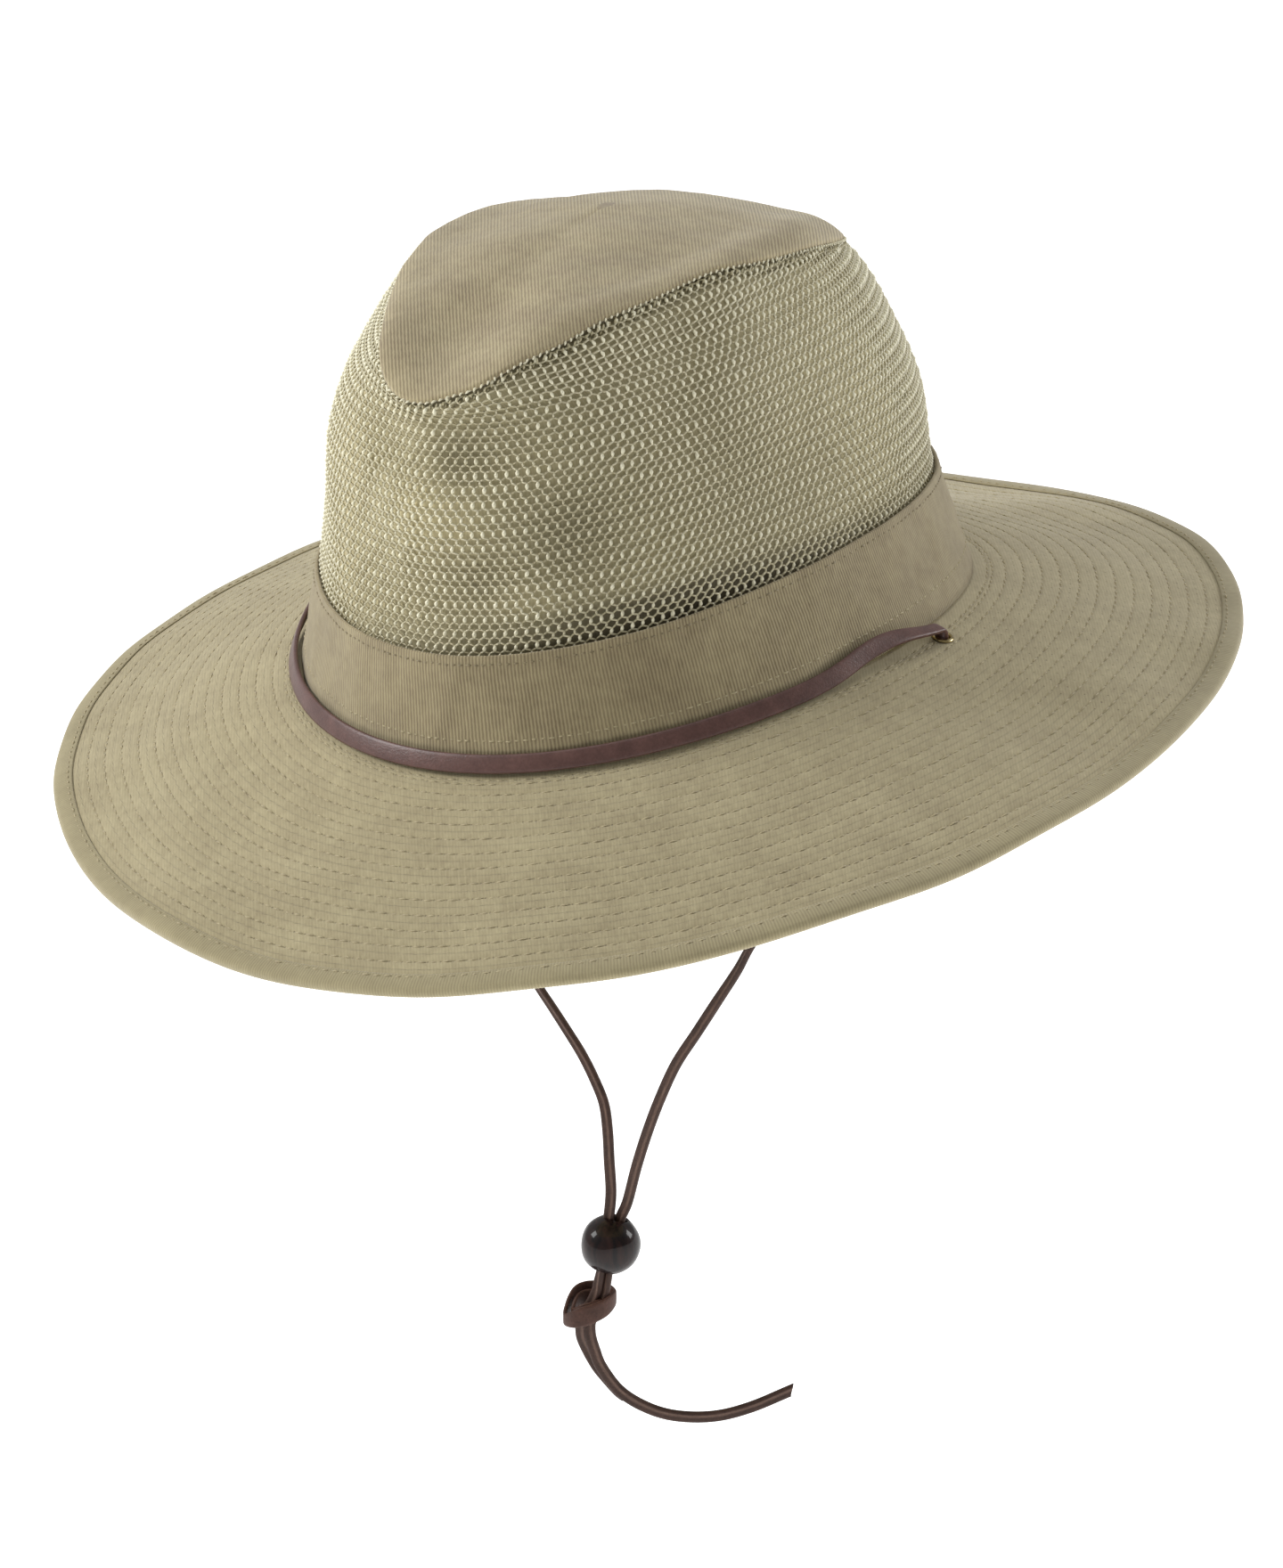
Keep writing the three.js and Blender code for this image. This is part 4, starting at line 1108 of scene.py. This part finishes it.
def brim():
    angles = round_angles(COLUMNS)
    outermost = edge_share(angles, BINDING_FOLD + GAP)
    top_share = brim_rings(TOP_OFFSETS, outermost)[::-1]
    low_share = brim_rings(LOW_OFFSETS, outermost)
    top = brim_offset(angles, top_share, brim_relief(top_share))
    low = brim_offset(angles, low_share, -BRIM_THICKNESS - brim_relief(low_share))
    rings = np.concatenate([top, low])
    piece = closed_wall("brim_cloth", rings, brim_twill, "cotton_twill", "brim")
    grain_map(piece, np.concatenate([rings, rings[:1]]))
    share = np.concatenate([top_share, low_share, top_share[:1]])
    row, away = nearest_row(np.concatenate([share, share[:, :1]], 1))
    flat_map(piece, "stitch_rows", STITCHES_IN_ROW[row] * np.linspace(0, 1, COLUMNS + 1), away)
    cutter = bore_cutter()
    change = piece.modifiers.new("eyelet_holes", "BOOLEAN")
    change.operation, change.object, change.solver = "DIFFERENCE", cutter, "EXACT"
    depsgraph = bpy.context.evaluated_depsgraph_get()
    mesh = bpy.data.meshes.new_from_object(piece.evaluated_get(depsgraph))
    piece.modifiers.clear()
    piece.data = mesh
    bpy.data.objects.remove(cutter)


def bore_cutter():
    """Two short posts that cut the holes for the eyelets."""
    parts = []
    for point, normal in SEATS.values():
        rings = lathe([(BORE_RADIUS, -5), (BORE_RADIUS, 3)], point, normal, 24)
        faces = ring_faces(2, 24, False).tolist() + [list(range(24))[::-1], list(range(24, 48))]
        parts.append((rings.reshape(-1, 3), faces))
    points, faces = joined(parts)
    mesh = bpy.data.meshes.new("bore_cutter")
    mesh.from_pydata((points * MM).tolist(), [], faces)
    cutter = bpy.data.objects.new("bore_cutter", mesh)
    bpy.context.scene.collection.objects.link(cutter)
    return cutter


# Stitches: each has three points, at these parts of its pitch and heights over the cloth.
STITCH_PARTS = np.array((0.14, 0.5, 0.86))
STITCH_LIFTS = np.array((-0.12, 0.12, -0.12))[:, None]
STITCH_HALF_WIDTHS = (0.2, 0.3, 0.2)
STITCH_HALF_HEIGHTS = (0.14, 0.22, 0.14)
BAND_STITCH_LENGTH = 2.4
BAND_STITCH_LEVELS = {"top": BAND_LEVEL - 0.15, "foot": 0.4}
TAPE_STITCHES = 330


def stitch_piece(name, rows, counts, material=thread, sides=4):
    """Rows of sewn stitches. rows are functions that give points and outward directions at angles."""
    parts = []
    for place, count in zip(rows, counts):
        point, outward = place(2 * math.pi * (np.arange(count)[:, None] + STITCH_PARTS) / count)
        lines = point + outward * STITCH_LIFTS + random.normal(0, 0.05, (count, 1, 3))
        parts.append(strands(lines, outward[:, 1], STITCH_HALF_WIDTHS, STITCH_HALF_HEIGHTS, sides))
    new_piece(name, *joined(parts), material, "cotton_twill")


def brim_row(share_at, lift_at=brim_relief, under=False):
    """A row of stitches on the brim's top or underside."""
    side, start = (-1, -BRIM_THICKNESS) if under else (1, 0)

    def place(angle):
        share = share_at(angle)
        outward = side * normal_at(brim_point, angle, share, BRIM_STEP)
        return brim_offset(angle, share, start + side * lift_at(share)), outward
    return place


def band_row(level):
    def place(angle):
        levels = np.full_like(angle, level)
        outward = normal_at(crown_point, angle, levels, CROWN_STEP)
        return crown_offset(angle, levels, BAND_OUTER - 0.05, BAND_PUCKER), outward
    return place


def stitches():
    fixed = [lambda angle, place=place: np.full_like(angle, place / STITCH_ROWS) for place in ROW_PLACES]
    stitch_piece("brim_stitches_top", [brim_row(share) for share in fixed], STITCHES_IN_ROW)
    stitch_piece("brim_stitches_under", [brim_row(share, under=True) for share in fixed], STITCHES_IN_ROW,
                 sides=3)
    count = round(run_along(crown_point(round_angles(361), np.full(361, 1.0)))[-1] / BAND_STITCH_LENGTH)
    # The band's top row is sewn in the darker thread, painted shade for stitches sunk in its edge.
    for name, material in (("top", shade_painted_thread), ("foot", thread)):
        stitch_piece(f"band_stitches_{name}", [band_row(BAND_STITCH_LEVELS[name])], [count], material)


# The binding: ribbed tape folded round the edge of the brim.
def binding():
    slot = BRIM_THICKNESS / 2 + BINDING_PLAY
    half = slot + BINDING_TAPE
    upper = [(3, half), (4.4, half - 0.15), (5.2, half - 0.35), (5.7, half - 0.42),
             (BINDING_WIDTH, half - 0.6)]
    fold = np.linspace(-math.pi / 2, math.pi / 2, 7)
    section = [(inset, -lift) for inset, lift in upper[::-1]]
    section += [(BINDING_ROLL * (1 - math.cos(t)), half * math.sin(t)) for t in fold]
    section += upper
    section += [(BINDING_WIDTH, slot), (BINDING_FOLD, slot), (BINDING_FOLD, -slot), (BINDING_WIDTH, -slot)]
    angles = round_angles(2 * BINDING_RIBS)
    raised = BINDING_RIB_HEIGHT * np.tile((1, -1), BINDING_RIBS)
    rings = []
    for inset, lift in section:
        outside = abs(lift) > slot + 0.1 or inset < BINDING_FOLD - 0.1
        rib = raised * outside
        way = np.sign(lift) if inset > 1.5 else lift / half
        share = edge_share(angles, inset - rib * (1 - abs(way)))
        rings.append(brim_offset(angles, share, lift - BRIM_THICKNESS / 2 + rib * way))
    piece = closed_wall("brim_tape", np.stack(rings), tape_cloth, "binding_tape", "brim_binding")
    girth = np.linspace(0, BINDING_GIRTH * MM, 2 * BINDING_RIBS + 1)
    flat_map(piece, "cloth", *np.meshgrid(girth, np.linspace(0, BINDING_SPAN * MM, len(section) + 1)))

    def sewn(angle):
        return edge_share(angle, BINDING_WIDTH - BINDING_SEAM)

    def lift_at(share):
        return half - BRIM_THICKNESS / 2 - 0.3 + 0 * share

    rows = [brim_row(sewn, lift_at, under) for under in (False, True)]
    stitch_piece("tape_stitches", rows, [TAPE_STITCHES, TAPE_STITCHES])


# The lace round the front of the crown, leaning against the band.
LACE_WIDTH = 5
LACE_END_WIDTH = 3.8
LACE_THICKNESS = 1.4
LACE_LEAN = 0.42
LACE_END_LEAN = 1.17
LACE_OFFSET = 3.2
LACE_HEIGHT = 1.7
LACE_END_ANGLE = -0.008
LACE_STEPS = 320
LACE_GIRTH = 12.5
LACE_END_TURN = 0.3
LACE_END_HEIGHT = 2.3
LACE_DIP = 0.9
LACE_ARCH = 3.7  # how high the lace stands over the brim before each eyelet
LACE_ARCH_MIDDLE = 0.16
LACE_ARCH_REACH = 0.17
LACE_ARCH_LEAN = 0.3


def lace_dip(seat, end, across, half_width):
    """Sections of the lace from its last one over the eyelet's edge and down its bore."""
    point, normal = seat
    way = point - end
    flat_way = way - normal * (way @ normal)
    turn = np.linspace(0, math.pi / 2, 7)[1:, None]
    drop = LACE_DIP - way @ normal
    middle = end + flat_way * np.sin(turn) - normal * drop * (1 - np.cos(turn))
    face = normal * np.cos(turn) + unit(flat_way) * np.sin(turn)
    return middle, np.broadcast_to(across, middle.shape), face, half_width * (1 - 0.12 * np.sin(turn))


def lace_band():
    sweep = math.pi + 2 * LACE_END_ANGLE
    angle = np.linspace(0, sweep, LACE_STEPS + 1) - math.pi - LACE_END_ANGLE
    from_end = sweep / 2 - np.abs(angle - FRONT)
    x = np.clip(from_end / LACE_END_TURN, 0, 1)
    held = (x * x * (3 - 2 * x))[:, None]
    up = np.array((0, 0, 1))
    outward = unit(normal_at(crown_point, angle, np.full_like(angle, 0.02), CROWN_STEP) * (1, 1, 0))
    along = crown_point(angle, np.zeros_like(angle)) + outward * LACE_OFFSET + up * LACE_HEIGHT
    share = np.full_like(angle, EYELET_SHARE)
    over = brim_point(angle, share) + normal_at(brim_point, angle, share, BRIM_STEP) * LACE_END_HEIGHT
    arch = (LACE_ARCH * bump(from_end - LACE_ARCH_MIDDLE, LACE_ARCH_REACH))[:, None]
    middle = over * (1 - held) + along * held + arch * (up - LACE_ARCH_LEAN * outward)
    lean = LACE_END_LEAN * (1 - held) + LACE_LEAN * held
    across = up * np.cos(lean) - outward * np.sin(lean)
    face = outward * np.cos(lean) + up * np.sin(lean)
    half_width = (LACE_END_WIDTH + (LACE_WIDTH - LACE_END_WIDTH) * held) / 2
    start, finish = (lace_dip(SEATS[side], middle[end], across[end], half_width[end])
                     for side, end in (("right", 0), ("left", -1)))
    middle, across, face, half_width = (
        np.concatenate([before[::-1], main, after])
        for before, main, after in zip(start, (middle, across, face, half_width), finish))
    shape = rounded(20, 0.45, 0.6)
    rings = (middle[:, None] + across[:, None] * half_width[:, None] * shape[:, :1]
             + face[:, None] * (LACE_THICKNESS / 2) * shape[:, 1:])
    piece = closed_wall("leather_lace", rings, band_leather, "lace_leather", "lace_band",
                        caps=np.stack([middle[0], middle[-1]]))
    flat_map(piece, "cloth", *np.meshgrid(np.linspace(0, LACE_GIRTH * MM, 21), run_along(middle) * MM))


# The eyelets: brass, rolled over at both faces of the brim.
EYELET_BORE = 3.8
EYELET_BARREL = 4.8
EYELET_FLANGE = 6.2
EYELET_ROLL = 0.6


def eyelet(side):
    point, normal = SEATS[side]
    roll = np.linspace(0, math.pi, 9)
    middle, reach = (EYELET_BORE + EYELET_FLANGE) / 4, (EYELET_FLANGE - EYELET_BORE) / 4
    upper = np.stack([middle + reach * np.cos(roll), GAP + EYELET_ROLL * np.sin(roll)], -1)
    upper = np.vstack([(EYELET_BARREL / 2, GAP), upper])
    lower = upper[::-1] * (1, -1) - (0, BRIM_THICKNESS)
    rings = lathe(np.vstack([upper, lower]), point, normal, 40)
    closed_wall(f"eyelet_{side}_ring", rings[::-1], brass, "eyelet_brass", f"eyelet_{side}")


tip()
band()
lining()
net()
seam_gathers()
brim()
stitches()
binding()
lace_band()
for side in SEATS:
    eyelet(side)


# The floor and the studio.
FLOOR_HEIGHT = -0.6
FLOOR_SIZE = 60
CROWN_MIDDLE = Vector((0, 0, 0.03))
ROOM_PALE_SIDE = (-0.64, 0.12, 0.76)
ROOM_STRENGTH = 0.57
# Name, place, size and power of each soft box.
SOFT_BOXES = (
    ("left_box", (-1.05, -0.66, 0.86), 0.65, 14),
    ("right_box", (0.9, 0.95, 0.3), 0.5, 7),
    ("top_box", (-0.1, -0.1, 1.7), 1.0, 4.8),
)


def room_light():
    """A pale room whose left side, back and ceiling are the lightest."""
    world = bpy.data.worlds.new("studio")
    world.use_nodes = True
    tree = world.node_tree
    way = add(tree, "TexCoord", out="Generated")
    toward = add(tree, "VectorMath", {0: way, 1: ROOM_PALE_SIDE}, "Value", operation="DOT_PRODUCT")
    strength = add(tree, "MapRange", {"Value": toward, "From Min": -1, "From Max": 1,
                                      "To Max": ROOM_STRENGTH})
    tree.links.new(strength, tree.nodes["Background"].inputs["Strength"])
    tree.nodes["Background"].inputs["Color"].default_value = (1, 1, 1, 1)
    return world


def studio():
    bpy.ops.mesh.primitive_plane_add(size=FLOOR_SIZE, location=(0, 0, FLOOR_HEIGHT))
    floor = bpy.context.object
    floor.name = "floor"
    floor.data.materials.append(floor_sheet())
    bpy.context.scene.world = room_light()
    for name, place, size, power in SOFT_BOXES:
        light = bpy.data.lights.new(name, "AREA")
        light.size, light.energy = size, power
        lamp = bpy.data.objects.new(name, light)
        lamp.location = place
        lamp.rotation_mode = "QUATERNION"
        lamp.rotation_quaternion = (CROWN_MIDDLE - Vector(place)).to_track_quat("-Z", "Y")
        bpy.context.scene.collection.objects.link(lamp)
    bpy.context.scene.view_settings.view_transform = "Standard"


studio()
